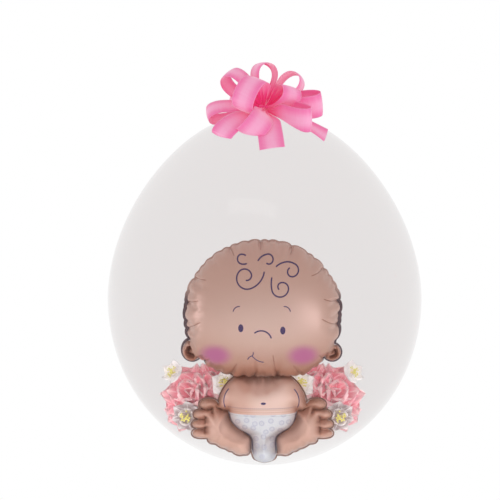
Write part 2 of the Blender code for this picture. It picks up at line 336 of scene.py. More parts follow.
# painted shade under the head and at the top of the chest
CHIN_SHADE_Z = (0.190, 0.120)
CHIN_SHADE = 0.95
CHEST_SHADE_Z = (0.098, 0.112)
CHEST_SHADE = 0.05
MOTTLE_SCALE = 35.0
MOTTLE_STRENGTH = 0.5
MOTTLE_LEAST = 0.65
# Painted light: paler on the chest, in the middle of the face and on one heel
CHEST_LIGHT_Z = (0.064, 0.072)
CHEST_LIGHT_TOP = (0.128, 0.108)
CHEST_LIGHT_X = 0.010
CHEST_LIGHT_REACH = (0.036, 0.010)
CHEST_LIGHT = 0.38
# An oval's centre across and up, and its half width and height. A fade runs in radii from its centre
FACE_LIGHT_OVAL = (0.0, 0.190, 0.075, 0.044)
FACE_LIGHT_FADE = (1.6, 0.0)
FACE_LIGHT = 0.30
HEEL_LIGHT_OVAL = (-0.0290, 0.0200, 0.0110, 0.0085)
HEEL_LIGHT_FADE = (1.3, 0.2)
HEEL_LIGHT = 0.10
CHEEK_OVALS = ((-0.0586, 0.1506, 0.0215, 0.0148), (0.0524, 0.1506, 0.0215, 0.0148))
CHEEK_FADE = (1.22, 0.36)
CHEEK_COLOUR = (0.50, 0.125, 0.32)
CHEEK_STRENGTH = 0.85
NAPPY_COLOUR = (0.66, 0.67, 0.70)
# painted shade: the nappy is greyer low down
NAPPY_PAINTED_SHADE = (0.54, 0.55, 0.58)
NAPPY_PAINTED_SHADE_Z = (0.040, 0.022)
NAPPY_EDGE = (-0.0003, 0.0003)
NAPPY_LINE_GAP = 0.0014  # from the nappy's edge to the middle of the line drawn along it
NAPPY_LINE_EDGE = (0.0014, 0.0006)
NAPPY_LINE_TOP = (0.0680, 0.0665)
NAPPY_LINE_FOOT = (0.010, 0.020)
NAPPY_LINE_STRENGTH = 0.8
# The nappy's print, small rings with dots in them, in shares of its cells
MOTIF_COLOUR = (0.42, 0.43, 0.55)
MOTIF_SCALE = 88.0
MOTIF_RANDOMNESS = 0.55
MOTIF_STRENGTH = 0.6
MOTIF_RING_RADIUS = 0.24
MOTIF_RING_EDGE = (0.11, 0.05)
MOTIF_DOT_EDGE = (0.09, 0.05)

# The lines drawn on the front of the inflated figure: x to the right and z up, in metres
ARC_SOCKETS = {
    "Place": "NodeSocketVector",
    "Centre": "NodeSocketVector",
    "Radius": "NodeSocketFloat",
    "Middle": "NodeSocketFloat",
    "Half sweep": "NodeSocketFloat",
}
FACE_X = -0.0042  # the line to whose sides all of the drawing is laid out
FIGURE_PLACE = np.array((FIGURE_X - FACE_X, FIGURE_Z))
INK = (0.060, 0.045, 0.14)
CURL_HALF_WIDTH = 0.00095
STROKE_HALF_WIDTH = 0.00065
STROKE_BLUR = 0.0003
EYE_OVALS = ((-0.0264, 0.1872, 0.0033, 0.0051), (0.0264, 0.1843, 0.0033, 0.0051))
EYE_FADE = (1.06, 0.92)
NAVEL_OVAL = (0.0024, 0.0846, 0.0034, 0.0016)
NAVEL_FADE = (1.1, 0.9)
STITCH_COLOUR = (0.42, 0.22, 0.15)
BAND_STITCHES = ((0.0778, INK), (0.0758, STITCH_COLOUR), (0.0728, STITCH_COLOUR))
BAND_END = (0.0445, 0.0435)
STITCH_HALF_WIDTH = 0.0006
STITCH_PITCH = 0.0024
STITCH_BREAK = (-0.3, 0.3)
STITCH_STRENGTH = 0.55
# Single strokes: both ends, and how far the stroke bows to the left of the way from one to the other
BROW = ((0.0280, 0.2146), (0.0358, 0.2085), 0.0018)
NOSE = ((-0.0087, 0.1814), (0.0117, 0.1751), 0.0055)
MOUTH = (
    ((-0.0176, 0.1461), (-0.0121, 0.1509), 0.0010),
    ((-0.0121, 0.1509), (0.0022, 0.1422), -0.0020),
    ((-0.0121, 0.1509), (-0.0108, 0.1558), -0.0006),
)
ARM_LINE = ((0.0470, 0.0765), (0.0425, 0.1010), -0.0036)
# Curls of hair: where each starts, the way it heads in degrees, and its turns as (radius, degrees)
CURLS = (
    (0.0030, 0.2570, -100, ((0.0260, -62), (0.0130, -150), (0.0090, -110), (0.0062, -120))),
    (0.0125, 0.2500, -100, ((0.0400, 22), (0.0105, 165), (0.0076, 110), (0.0050, 110))),
    (-0.0045, 0.2712, 52, ((0.0200, -40), (0.0060, -155), (0.0048, -70))),
    (0.0185, 0.2640, 42, ((0.0200, -75), (0.0080, -150), (0.0058, -140))),
    (-0.0195, 0.2672, 200, ((0.0110, -40), (0.0056, -150), (0.0080, -40))),
)

# The flowers
BLOOM_PINK = (0.83, 0.275, 0.335)
BLOOM_DEEP = (0.80, 0.16, 0.23)
BLOOM_LIGHT = (0.92, 0.66, 0.675)
WHITE_PETAL = (0.94, 0.90, 0.895)
WHITE_BASE = (0.95, 0.78, 0.78)
SILVER_PETAL = (0.40, 0.32, 0.32)
SILVER_LIGHT = (0.94, 0.88, 0.89)
STAMEN_COLOUR = (0.90, 0.82, 0.16)
STAMEN_DEEP = (0.76, 0.70, 0.14)
STAMEN_LIGHT = (0.94, 0.87, 0.36)
PETAL_ROWS = 14
PETAL_COLUMNS = 12
PETAL_WIDEST_POWER = 0.75  # below 1, the petal is widest nearer its base
PETAL_FULLNESS_POWER = 0.55
PETAL_STALK_SHARE = 0.04
PETAL_CUP = 0.25
PETAL_FLATTENING = 0.6  # how much of the cup is gone at the tip
PETAL_ROLL = 0.22
PETAL_ROLL_POWER = 2.5
PETAL_ROUNDING = 0.10
RUFFLE_TURNS = 1.1
FINE_RUFFLE_TURNS = 2.55
FINE_RUFFLE_SHARE = 0.5
RUFFLE_EDGE_SHARE = 0.6  # the part of the ruffle that only the petal's edges have
PETAL_TURN_JITTER = 0.12
PETAL_LEAN_JITTER = 0.10
PETAL_SCALES = (0.92, 1.05)
PETAL_BASE_FADE = (0.05, 0.55)
PETAL_TIP_FADE = (0.60, 1.05)
# painted sheen: where streaks of the tip's colour come in along the veins' noise
PETAL_SHEEN_FADE = (0.56, 0.70)
PETAL_VEIN_SCALE = (9.0, 1.2, 7.0)  # across, along and from petal to petal
PETAL_VEIN_REACH = 0.5
FLOWER_SEED = 7
STAMENS = 26
STAMEN_SIDES = 6
STAMEN_LEAN = 0.9
STAMEN_REACHES = (1.2, 1.7)
STAMEN_HEAD_SHARE = 0.17
# A stamen's rings: place along it and radius, with its head at the end
STAMEN_RINGS = ((-1.2, 0.12), (-0.144, 0.12), (-0.096, 0.8), (0.0, 1.0), (0.096, 0.6))
STAMEN_TIP = 0.12
FLOWER_X = -0.0020  # the bouquets mirror each other about this line

# Each flower: its place (out to the side, back, up), the way it faces, its finish, the radius of its
# stamens, and its rings of petals as (count, length, width, tilt from its axis in degrees, ruffle)
PINK, WHITE, SILVER, YELLOW = range(4)  # where the finishes stand in the list in make_flowers
LARGE_BLOOM = (
    (3, 0.018, 0.024, 20, 0.16),
    (5, 0.028, 0.034, 40, 0.22),
    (6, 0.036, 0.040, 60, 0.26),
    (7, 0.043, 0.044, 80, 0.28),
)
UPPER_BLOOM = ((3, 0.012, 0.018, 25, 0.20), (5, 0.020, 0.026, 50, 0.26), (6, 0.027, 0.032, 78, 0.28))
LOWER_BLOOM = ((3, 0.012, 0.016, 20, 0.12), (5, 0.019, 0.023, 45, 0.16), (7, 0.026, 0.028, 75, 0.20))
OUTER_WHITE = ((5, 0.014, 0.014, 62, 0.12), (6, 0.017, 0.016, 80, 0.14))
INNER_WHITE = ((5, 0.018, 0.017, 60, 0.12), (6, 0.021, 0.020, 82, 0.14))
SILVER_BLOOM = ((5, 0.018, 0.017, 48, 0.16), (7, 0.024, 0.020, 74, 0.20))
FLOWERS = (
    ((0.0935, 0.030, 0.0840), (0.30, -0.86, 0.40), PINK, 0.0, LARGE_BLOOM),
    ((0.0710, 0.030, 0.0980), (-0.20, -0.86, 0.45), PINK, 0.0, UPPER_BLOOM),
    ((0.1050, 0.024, 0.0600), (0.55, -0.80, -0.10), PINK, 0.0, LOWER_BLOOM),
    ((0.1180, 0.014, 0.1140), (0.45, -0.75, 0.48), WHITE, 0.0062, OUTER_WHITE),
    ((0.0500, 0.004, 0.1005), (-0.05, -0.94, 0.34), WHITE, 0.0072, INNER_WHITE),
    ((0.0980, -0.004, 0.0590), (0.22, -0.96, 0.12), SILVER, 0.0084, SILVER_BLOOM),
)

# Stage, light and camera
CAMERA_AIM = Vector((-0.0190, 0.0, 0.2783))
CAMERA_DISTANCE = 2.2
CAMERA_ELEVATION = math.radians(4.5)
CAMERA_LENS = 121.1
FLOOR_HALF_SIZE = 6.0
FLOOR_Z = -0.0006
ROOM_LIGHT = 0.8
BACKDROP_LIGHT = 1.0
NEUTRAL = (1.0, 1.0, 1.0)
COOL = (0.93, 1.0, 1.13)
# Area lights: name, what it lights, place, aim, width, height, power, colour, beam in degrees, and
# whether glossy surfaces mirror it
LIGHTS = (
    ("right_box", "pieces", (0.88, -0.78, 0.09), (0, 0, 0.12), 0.40, 0.24, 1.05, COOL, 180, True),
    ("front_box", "pieces", (1.00, -1.50, 0.28), (0, 0, 0.18), 0.5, 0.55, 0.8, COOL, 180, True),
    ("left_box", "pieces", (-1.5, 0.0, 0.18), (0, 0, 0.2), 0.55, 0.36, 1.9, COOL, 180, True),
    ("top_box", "film", (-0.25, -1.0, 1.7), (0, 0, 0.3), 1.0, 0.25, 3.4, NEUTRAL, 180, True),
    ("low_fill", "pieces", (0, -2.0, 0.30), (0, 0, 0.02), 0.9, 0.08, 0.65, NEUTRAL, 12, False),
)

# Where Blender's mix node keeps its factor and two colours, and its mixed colour
COLOUR_MIX_INPUTS = (0, 6, 7)
COLOUR_MIX_OUTPUT = 2

rest_share = (REST_RADIUS / balloon_radius) ** BELLY_POWER
widest_z = BELLY_HEIGHT * (1 - rest_share) ** (1 / BELLY_POWER)


def smooth_step(value):
    value = np.clip(value, 0.0, 1.0)
    return value * value * (3 - 2 * value)


def mesh_object(name, points, faces, materials):
    """A new object of these points and faces that rides on the balloon's body."""
    mesh = bpy.data.meshes.new(name)
    mesh.from_pydata([tuple(point) for point in points], [], faces)
    for material in materials:
        mesh.materials.append(material)
    mesh.shade_smooth()
    made = bpy.data.objects.new(name, mesh)
    bpy.context.scene.collection.objects.link(made)
    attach(made, BODY)
    return made


def grid_faces(rows, columns, start=0, closed=False):
    """Quads between rows of points, each with this many columns. Closed rows join end to end."""
    faces = []
    span = columns if closed else columns - 1
    for row in range(rows - 1):
        for column in range(span):
            a = start + row * columns + column
            b = start + row * columns + (column + 1) % columns
            faces.append((a, b, b + columns, a + columns))
    return faces


def values_of(collection, name, width):
    """One value of every item as an array with this many columns."""
    values = np.empty(len(collection) * width)
    collection.foreach_get(name, values)
    return values.reshape(-1, width)


def keep_values(mesh, name, values):
    """Stores a number or a vector for each point of the mesh."""
    values = np.array(values, dtype=float)
    kind, field = ("FLOAT", "value") if values.ndim == 1 else ("FLOAT_VECTOR", "vector")
    mesh.attributes.new(name, kind, "POINT").data.foreach_set(field, values.ravel())


def applied(made):
    """Makes the object's evaluated shape its mesh, and drops its modifiers."""
    mesh = bpy.data.meshes.new_from_object(made.evaluated_get(bpy.context.evaluated_depsgraph_get()))
    made.modifiers.clear()
    made.data = mesh


# Shader helpers


class Field:
    """A number, place or colour that varies over a surface, for use in sums as plain numbers are."""

    def __init__(self, socket):
        self.socket = socket
        self.tree = socket.id_data

    def maths(self, operation, *others):
        return node(self.tree, "ShaderNodeMath", self, *others, operation=operation)

    def __add__(self, other):
        return self.maths("ADD", other)

    def __sub__(self, other):
        return self.maths("SUBTRACT", other)

    def __mul__(self, other):
        return self.maths("MULTIPLY", other)

    def __truediv__(self, other):
        return self.maths("DIVIDE", other)

    def __abs__(self):
        return self.maths("ABSOLUTE")

    def most(self, *others):
        """The largest of this field and the others."""
        largest = self
        for other in others:
            largest = largest.maths("MAXIMUM", other)
        return largest

    def fade(self, start, end, low=0.0, high=1.0):
        """Goes smoothly from low to high while this field goes from start to end."""
        return node(
            self.tree, "ShaderNodeMapRange", self, start, end, low, high, interpolation_type="SMOOTHSTEP"
        )

    def mix(self, first, second):
        """The first colour where this field is 0 and the second where it is 1."""
        made = self.tree.nodes.new("ShaderNodeMix")
        made.data_type = "RGBA"
        for index, value in zip(COLOUR_MIX_INPUTS, (self, first, second)):
            fill(made.inputs[index], value)
        return Field(made.outputs[COLOUR_MIX_OUTPUT])

    def vector(self, operation, *others, output=0):
        return node(self.tree, "ShaderNodeVectorMath", self, *others, operation=operation, output=output)

    def length(self):
        return self.vector("LENGTH", output="Value")

    def parts(self):
        """The x, y and z of this vector."""
        split = self.tree.nodes.new("ShaderNodeSeparateXYZ")
        fill(split.inputs[0], self)
        return [Field(output) for output in split.outputs]

    def noise(self, scale, detail):
        return node(self.tree, "ShaderNodeTexNoise", self, None, scale, detail)


def fill(socket, value):
    """Links the socket to a field, or sets its plain value. A colour of three numbers is opaque."""
    if isinstance(value, Field):
        socket.id_data.links.new(value.socket, socket)
    elif value is not None:
        opaque = socket.type == "RGBA" and len(value) == 3
        socket.default_value = (*value, 1) if opaque else value


def node(tree, kind, *inputs, output=0, **settings):
    """Adds a node with these settings, fills its inputs with fields or values, and gives one output."""
    made = tree.nodes.new(kind)
    for name, value in settings.items():
        setattr(made, name, value)
    for socket, value in zip(made.inputs, inputs):
        fill(socket, value)
    return Field(made.outputs[output])


def attribute(tree, name, output="Fac"):
    return node(tree, "ShaderNodeAttribute", attribute_name=name, output=output)


def place_in_object(tree):
    return node(tree, "ShaderNodeTexCoord", output="Object")


def finish(name, colour, **values):
    """A new material with plain values on its Principled shader, followed by its tree and that shader."""
    made = bpy.data.materials.new(name)
    made.use_nodes = True
    shader = made.node_tree.nodes["Principled BSDF"]
    for socket, value in dict(base_color=colour, **values).items():
        fill(shader.inputs[socket.replace("_", " ").title().replace("Ior", "IOR")], value)
    return made, made.node_tree, shader


def bump(shader, height, strength, distance):
    made = shader.id_data.nodes.new("ShaderNodeBump")
    made.inputs["Strength"].default_value = strength
    made.inputs["Distance"].default_value = distance
    fill(made.inputs["Height"], height)
    fill(shader.inputs["Normal"], Field(made.outputs[0]))


# The clear film


def film_height(radius):
    """The height of the film's upper side at this distance from its axis, outside the neck."""
    share = min(radius / balloon_radius, 1.0)
    shoulder = (1 - share**SHOULDER_RADIUS_POWER) ** (1 / SHOULDER_HEIGHT_POWER)
    throat = THROAT_RISE * math.exp((NECK_RADIUS - max(radius, NECK_RADIUS)) / THROAT_LENGTH)
    drop = CROWN_DROP * math.exp(-((radius / CROWN_RADIUS) ** 2))
    return widest_z + SHOULDER_HEIGHT * shoulder + throat - drop


neck_bottom_z = film_height(NECK_RADIUS)
tie_z = (tie_low[2] + tie_high[2]) / 2
tail_bottom_z = neck_bottom_z + TIE_HEIGHT
mouth_z = tail_bottom_z + TAIL_HEIGHT


def film_profile():
    """(radius, height) pairs of the thin film, from the tie down to the middle of the flat."""
    points = [(NECK_RADIUS, tail_bottom_z)]
    throat = THROAT_LENGTH * 2
    for row in range(THROAT_ROWS):
        radius = NECK_RADIUS + throat * (row / THROAT_ROWS) ** THROAT_ROW_POWER
        points.append((radius, film_height(radius)))
    start = math.acos(((NECK_RADIUS + throat) / balloon_radius) ** (SHOULDER_RADIUS_POWER / 2))
    for row in range(FILM_ROWS):
        radius = balloon_radius * math.cos(start * (1 - row / FILM_ROWS)) ** (2 / SHOULDER_RADIUS_POWER)
        points.append((radius, film_height(radius)))
    end = math.asin((REST_RADIUS / balloon_radius) ** (BELLY_POWER / 2))
    for row in range(FILM_ROWS + 1):
        angle = math.pi / 2 + (end - math.pi / 2) * row / FILM_ROWS
        radius = balloon_radius * math.sin(angle) ** (2 / BELLY_POWER)
        height = widest_z - BELLY_HEIGHT * math.cos(angle) ** (2 / BELLY_POWER)
        points.append((radius, max(height, 0.0)))
    return points + [(REST_RADIUS * share, 0.0) for share in FLAT_RINGS]


def tail_profile():
    """(radius, height) pairs of the funnel above the tie: up its inner side, round its lip, down outside."""
    outer = []
    lip = []
    for row in range(TAIL_ROWS + 1):
        share = row / TAIL_ROWS
        radius = NECK_RADIUS + (MOUTH_RADIUS - NECK_RADIUS) * share**MOUTH_FLARE
        outer.append((radius, tail_bottom_z + TAIL_HEIGHT * share))
        angle = LIP_START + LIP_SWEEP * share
        rise = LIP_RADIUS * (1 + math.sin(angle))
        lip.append((MOUTH_RADIUS + LIP_RADIUS * math.cos(angle), mouth_z + rise))
    inner = [(radius - TAIL_WALL, height) for radius, height in outer]
    inner[0] = (FIT_GAP, tail_bottom_z + TAIL_WALL)
    return [*inner[:-1], *lip, *reversed(outer[:-1])]


def pleated(radius, height, angle):
    """A point of the film, drawn into pleats near the neck and in the tail."""
    if height >= tail_bottom_z:
        fade = 1.0
        mouth_share = smooth_step((height - tail_bottom_z) / TAIL_HEIGHT)
        depth = NECK_PLEAT_DEPTH + (MOUTH_PLEAT_DEPTH - NECK_PLEAT_DEPTH) * mouth_share
    elif height > widest_z:
        fade = 1 - smooth_step((radius - NECK_RADIUS) / PLEAT_REACH)
        depth = NECK_PLEAT_DEPTH * fade
    else:
        return radius, height
    main = math.cos(PLEATS * angle)
    fine = math.cos(FINE_PLEATS * angle + math.sin(PLEAT_WANDER * angle))
    away = smooth_step((radius - NECK_RADIUS) / THROAT_LENGTH)
    around = radius * (1 + depth * (main + (fine - main) * FINE_PLEAT_SHARE))
    return around, height + FURROW_DEPTH * fade * away * (main + fine) / 2


def turned(profile):
    """Points round the axis, ring by ring."""
    points = []
    for radius, height in profile:
        for segment in range(FILM_SEGMENTS):
            angle = math.tau * segment / FILM_SEGMENTS
            around, up = pleated(radius, height, angle)
            points.append((around * math.cos(angle), around * math.sin(angle), up))
    return points


def film_finish(name, colour, alpha, painted_light=None):
    """Thin latex: see-through by plain values, glossy, and with painted light towards its foot if it is
    given a colour for that.
    """
    made, tree, shader = finish(name, colour, alpha=alpha, roughness=0.06, ior=1.5)
    place = place_in_object(tree)
    # painted light: paler towards the film's foot
    if painted_light:
        fill(shader.inputs["Base Color"], place.parts()[2].fade(*FILM_PAINTED_LIGHT_Z).mix(colour, painted_light))
    bump(shader, place.noise(scale=14.0, detail=2.0), strength=0.05, distance=0.002)
    return made


def make_film():
    thin = turned(film_profile())
    tail = turned(tail_profile())
    faces = grid_faces(len(thin) // FILM_SEGMENTS, FILM_SEGMENTS, closed=True)
    thin_faces = len(faces)
    faces += grid_faces(len(tail) // FILM_SEGMENTS, FILM_SEGMENTS, start=len(thin), closed=True)
    finishes = [
        film_finish("clear_film", FILM_COLOUR, FILM_ALPHA, FILM_PAINTED_LIGHT),
        film_finish("gathered_film", GATHERED_COLOUR, GATHERED_ALPHA),
    ]
    film = mesh_object("clear_film", thin + tail, faces, finishes)
    for index, face in enumerate(film.data.polygons):
        face.material_index = int(index < FILM_SEGMENTS or index >= thin_faces)
    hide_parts("balloon")
    return film


# The pull bow


def eased_above(value, least):
    """The value where it is well above the least one, and bent smoothly to that one below it."""
    above = value - least
    return least + (above + math.hypot(above, LIFT_SOFTNESS)) / 2


def clear_of_balloon(point):
    """The point, lifted off the shoulder and pushed out from the neck and the tail."""
    radius = math.hypot(point.x, point.y)
    aside = eased_above(radius, ribbon_keep_radius) / max(radius, FIT_GAP)
    x = point.x * aside
    y = point.y * aside
    return Vector((x, y, eased_above(point.z, film_height(radius * aside) + RIBBON_CLEARANCE)))


def axes_of(direction, width_hint):
    """Unit vectors: outward, the ribbon's width, and the side to which the loop opens."""
    outward = Vector(direction).normalized()
    hint = Vector(width_hint)
    width_way = (hint - outward * hint.dot(outward)).normalized()
    return outward, width_way, outward.cross(width_way)


tie_outer_radius = NECK_RADIUS * (1 + NECK_PLEAT_DEPTH) + FIT_GAP + TIE_THICKNESS
core = Vector((0, -(tie_outer_radius + KNOT_REACH + FIT_GAP + CORE_RADIUS), tie_z))
ribbon_keep_radius = MOUTH_RADIUS * (1 + MOUTH_PLEAT_DEPTH) + LIP_RADIUS + RIBBON_CLEARANCE


def loop_line(direction, width_hint, length, opening):
    """Middle points, distances from the core and width direction of a loop."""
    outward, width_way, opening_way = axes_of(direction, width_hint)
    middles = []
    reaches = []
    for step in range(LOOP_ROWS + 1):
        turn = math.pi * (LOOP_START + (1 - 2 * LOOP_START) * step / LOOP_ROWS)
        out = length * math.sin(turn) ** 2
        bulge = math.sin(2 * turn) * math.sin(turn) ** 2 / LOOP_BULGE
        middles.append(core + outward * out + opening_way * (opening * bulge + LEG_GAP * math.cos(turn)))
        reaches.append(out)
    return middles, reaches, width_way


def end_line(direction, width_hint, length):
    outward, width_way, _ = axes_of(direction, width_hint)
    middles = []
    reaches = []
    for step in range(END_ROWS + 1):
        share = step / END_ROWS
        out = END_START + (length - END_START) * share
        middles.append(core + outward * out)
        reaches.append(out)
    return middles, reaches, width_way


def ribbon_points(middles, reaches, width_way, slant=None):
    """Points across the ribbon, row by row: folded where it is gathered and crowned where it is wide."""
    points = []
    for row, (middle, out) in enumerate(zip(middles, reaches)):
        along = (middles[min(row + 1, len(middles) - 1)] - middles[max(row - 1, 0)]).normalized()
        face_way = along.cross(width_way).normalized()
        share = smooth_step((out - CORE_RADIUS / 2) / WIDENING_LENGTH)
        half = (GATHERED_WIDTH + (RIBBON_WIDTH - GATHERED_WIDTH) * share) / 2
        fold_height = FOLD_HEIGHT * (1 - share) * min(out / CORE_RADIUS, 1)
        for column in range(ACROSS + 1):
            place = 2 * column / ACROSS - 1
            crown = RIBBON_CROWN * share * (1 - place * place)
            fold = fold_height * math.cos(math.pi * RIBBON_FOLDS * place)
            point = middle + width_way * half * place + face_way * (crown + fold)
            if slant:
                point += along * slant / 2 * place * (row / (len(middles) - 1)) ** 2
            points.append(clear_of_balloon(point))
    return points


def line_length(points):
    return sum((b - a).length for a, b in zip(points, points[1:]))


def core_points():
    """A gathered bundle of folds round the middle of the bow."""
    points = []
    for row in range(CORE_ROWS):
        up = math.pi * row / (CORE_ROWS - 1)
        for column in range(CORE_SEGMENTS):
            around = math.tau * column / CORE_SEGMENTS
            radius = CORE_BUNDLE_RADIUS * (1 + CORE_FOLD_DEPTH * math.cos(CORE_FOLDS * around))
            way = Vector((math.sin(up) * math.cos(around), math.cos(up), math.sin(up) * math.sin(around)))
            points.append(core + way * radius)
    return points


def ribbon_finish():
    """Satin ribbon: fine threads along it, a firm selvage and a soft sheen, with a painted highlight along
    its middle, painted shade near the core and an even glow painted in for the light that comes through it.
    """
    made, tree, shader = finish(
        "pink_ribbon",
        RIBBON_COLOUR,
        roughness=0.34,
        sheen_weight=0.25,
        sheen_roughness=0.35,
        anisotropic=0.4,
        emission_color=RIBBON_GLOW,
        emission_strength=RIBBON_GLOW_STRENGTH,
    )
    place = attribute(tree, "ribbon_place", "Vector")
    across, _, out = place.parts()
    threads = place.vector("MULTIPLY", THREAD_SCALE).noise(scale=1.0, detail=2.0)
    weave = place.vector("MULTIPLY", WEAVE_SCALE).noise(scale=1.0, detail=1.0)
    selvage = abs(across).fade(*SELVAGE)
    # painted highlight along the middle of the ribbon's width, mixed with the weave's noise
    light = abs(across).fade(*PAINTED_SHEEN_BAND) * PAINTED_SHEEN_SHARE + (threads + weave) * WEAVE_SHARE
    colour = light.mix(RIBBON_DEEP, RIBBON_SHEEN_AND_SELVAGE)
    colour = (selvage * SELVAGE_SHARE).mix(colour, RIBBON_SHEEN_AND_SELVAGE)
    # painted shade near the core
    colour = out.fade(*RIBBON_SHADE_REACH, RIBBON_SHADE, 0.0).mix(colour, RIBBON_CORE_SHADE)
    fill(shader.inputs["Base Color"], colour)
    bump(shader, threads + selvage, strength=0.25, distance=0.0003)
    return made


def make_bow(ribbon):
    points = []
    faces = []
    places = []
    length = 0.0
    strips = [(*loop_line(*loop), None) for loop in LOOPS]
    strips += [(*end_line(*end[:3]), end[3]) for end in ENDS]
    for middles, reaches, width_way, slant in strips:
        faces += grid_faces(len(middles), ACROSS + 1, start=len(points))
        points += ribbon_points(middles, reaches, width_way, slant)
        step = line_length(middles) / (len(middles) - 1)
        for row, out in enumerate(reaches):
            for column in range(ACROSS + 1):
                places.append(((column / ACROSS - 0.5) * RIBBON_WIDTH, length + row * step, out))
        length += line_length(middles)
    bow = mesh_object("ribbon_pull_bow", points, faces, [ribbon])
    keep_values(bow.data, "ribbon_place", places)
    shell = bow.modifiers.new("thickness", "SOLIDIFY")
    shell.thickness = RIBBON_THICKNESS
    shell.offset = 0
    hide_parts("ribbon_bow")
    knot_faces = grid_faces(CORE_ROWS, CORE_SEGMENTS, closed=True)
    knot = mesh_object("ribbon_bow_core", core_points(), knot_faces, [ribbon])
    return bow, knot


# The foil figure's flat outlines


def evenly(points, closed):
    """The same line, with its points evenly spaced."""
    line = np.array([*points, points[0]] if closed else points)
    steps = np.hypot(*(line[1:] - line[:-1]).T)
    along = np.concatenate([[0.0], np.cumsum(steps)])
    count = max(3, round(along[-1] / FOIL_SPACING))
    where = np.linspace(0, along[-1], count + 1)
    out = np.stack([np.interp(where, along, line[:, axis]) for axis in (0, 1)], axis=1)
    return out[:-1] if closed else out


def oval(x, z, half_width, up, power=2.0, down=None, down_power=None):
    """A superellipse with its own height and power above and below its centre."""
    points = []
    for step in range(OUTLINE_STEPS):
        angle = math.tau * step / OUTLINE_STEPS
        above = math.sin(angle) >= 0
        bend = 2 / (power if above else down_power or power)
        tall = up if above else down or up
        aside = math.copysign(abs(math.cos(angle)) ** bend, math.cos(angle))
        rise = math.copysign(abs(math.sin(angle)) ** bend, math.sin(angle))
        points.append((x + half_width * aside, z + tall * rise))
    return evenly(points, True)


def curved(corners, closed):
    """A smooth line through the corners, with its points evenly spaced."""
    spots = np.array(corners)
    count = len(spots)
    points = []
    for span in range(count if closed else count - 1):
        picks = (span - 1, span, span + 1, span + 2)
        a, b, c, d = (spots[i % count] if closed else spots[min(max(i, 0), count - 1)] for i in picks)
        for t in np.arange(0, 1, 1 / CURVE_STEPS):
            square = (2 * a - 5 * b + 4 * c - d) * t**2
            cube = (3 * b - a - 3 * c + d) * t**3
            points.append(0.5 * (2 * b + (c - a) * t + square + cube))
    if not closed:
        points.append(spots[-1])
    return evenly(points, closed)


def mirrored(points):
    return points[::-1] * np.array((-1, 1))


def measured(points):
    """How far along the closed outline each of its points lies, and how long the outline is."""
    steps = np.hypot(*(np.roll(points, -1, axis=0) - points).T)
    return np.cumsum(steps) - steps, steps.sum()


def notched(points, depths, places):
    """The closed outline, cut in by each depth at its place, from which the film's creases start."""
    along, total = measured(points)
    gaps = np.abs(along[:, None] - places[None])
    gaps = np.minimum(gaps, total - gaps)
    depth = (depths * np.exp(-gaps / NOTCH_WIDTH)).max(axis=1)
    tangent = np.roll(points, -1, axis=0) - np.roll(points, 1, axis=0)
    tangent /= np.hypot(*tangent.T)[:, None]
    outward = np.stack([tangent[:, 1], -tangent[:, 0]], axis=1)
    return points - outward * depth[:, None]


def even_notches(points):
    """Places of notches along the closed outline, about evenly spaced."""
    _, total = measured(points)
    count = round(total / NOTCH_PITCH)
    jitter = np.random.default_rng(NOTCH_SEED).uniform(-NOTCH_JITTER, NOTCH_JITTER, count)
    return (np.arange(count) + jitter) * total / count


def head_oval():
    return oval(0, HEAD_CENTRE_Z, HEAD_HALF_WIDTH, HEAD_UP, HEAD_UP_POWER, HEAD_DOWN, HEAD_DOWN_POWER)


def crease_starts(outline):
    """The outline's point at each crease's angle."""
    turns = np.arctan2(outline[:, 1] - HEAD_CENTRE_Z, outline[:, 0])
    gaps = [np.angle(np.exp(1j * (turns - math.radians(crease[0])))) for crease in HEAD_CREASES]
    return [np.abs(gap).argmin() for gap in gaps]


def head_outline():
    """The head's oval, with a deep notch where each crease starts and small ones between them."""
    outline = head_oval()
    along, _ = measured(outline)
    deep = along[crease_starts(outline)]
    small = even_notches(outline)
    small = small[np.abs(small[:, None] - deep[None]).min(axis=1) > NOTCH_PITCH / 2]
    depths = np.concatenate([np.full(len(deep), CREASE_NOTCH_DEPTH), np.full(len(small), NOTCH_DEPTH)])
    return notched(outline, depths, np.concatenate([deep, small]))


def head_creases():
    """Both ends of each crease, flat: it leans away from the way to the middle of the head."""
    outline = head_oval()
    creases = []
    for index, (_, length, lean) in zip(crease_starts(outline), HEAD_CREASES):
        inward = np.array((0, HEAD_CENTRE_Z)) - outline[index]
        turn = math.atan2(inward[1], inward[0]) + math.radians(lean)
        way = np.array((math.cos(turn), math.sin(turn)))
        creases.append((outline[index] + way * CREASE_START, outline[index] + way * length))
    return creases


def nappy_side(side):
    """One side of the nappy, from its top corner down to its lowest point, leaning to the right."""
    line = curved(NAPPY_OUTLINE, closed=False)
    low = 1 - smooth_step(line[:, 1] / NAPPY_OUTLINE[0][1])
    return np.stack([side * line[:, 0] + NAPPY_LEAN * low, line[:, 1]], axis=1)


def nappy_outline():
    return evenly(np.concatenate([nappy_side(1), nappy_side(-1)[-2::-1]]), True)


def counter_clockwise(points):
    ahead = np.roll(points, -1, axis=0)
    area = np.sum(points[:, 0] * ahead[:, 1] - ahead[:, 0] * points[:, 1])
    return points if area > 0 else points[::-1]


def foil_outlines():
    """The closed flat shapes whose union is the figure."""
    shapes = [
        head_outline(),
        oval(0, TORSO_CENTRE_Z, TORSO_HALF_WIDTH, TORSO_UP, down=TORSO_DOWN),
        nappy_outline(),
    ]
    shapes += [oval(x, z, wide, tall) for x, z, wide, tall, _ in EARS]
    foot = counter_clockwise(curved(FOOT_OUTLINE, closed=True))
    foot = notched(foot, NOTCH_DEPTH, even_notches(foot))
    for shape in (foot, *(oval(x, z, wide, tall, TOE_POWER) for x, z, wide, tall in TOES)):
        shapes += [shape, mirrored(shape)]
    return [counter_clockwise(shape) for shape in shapes]


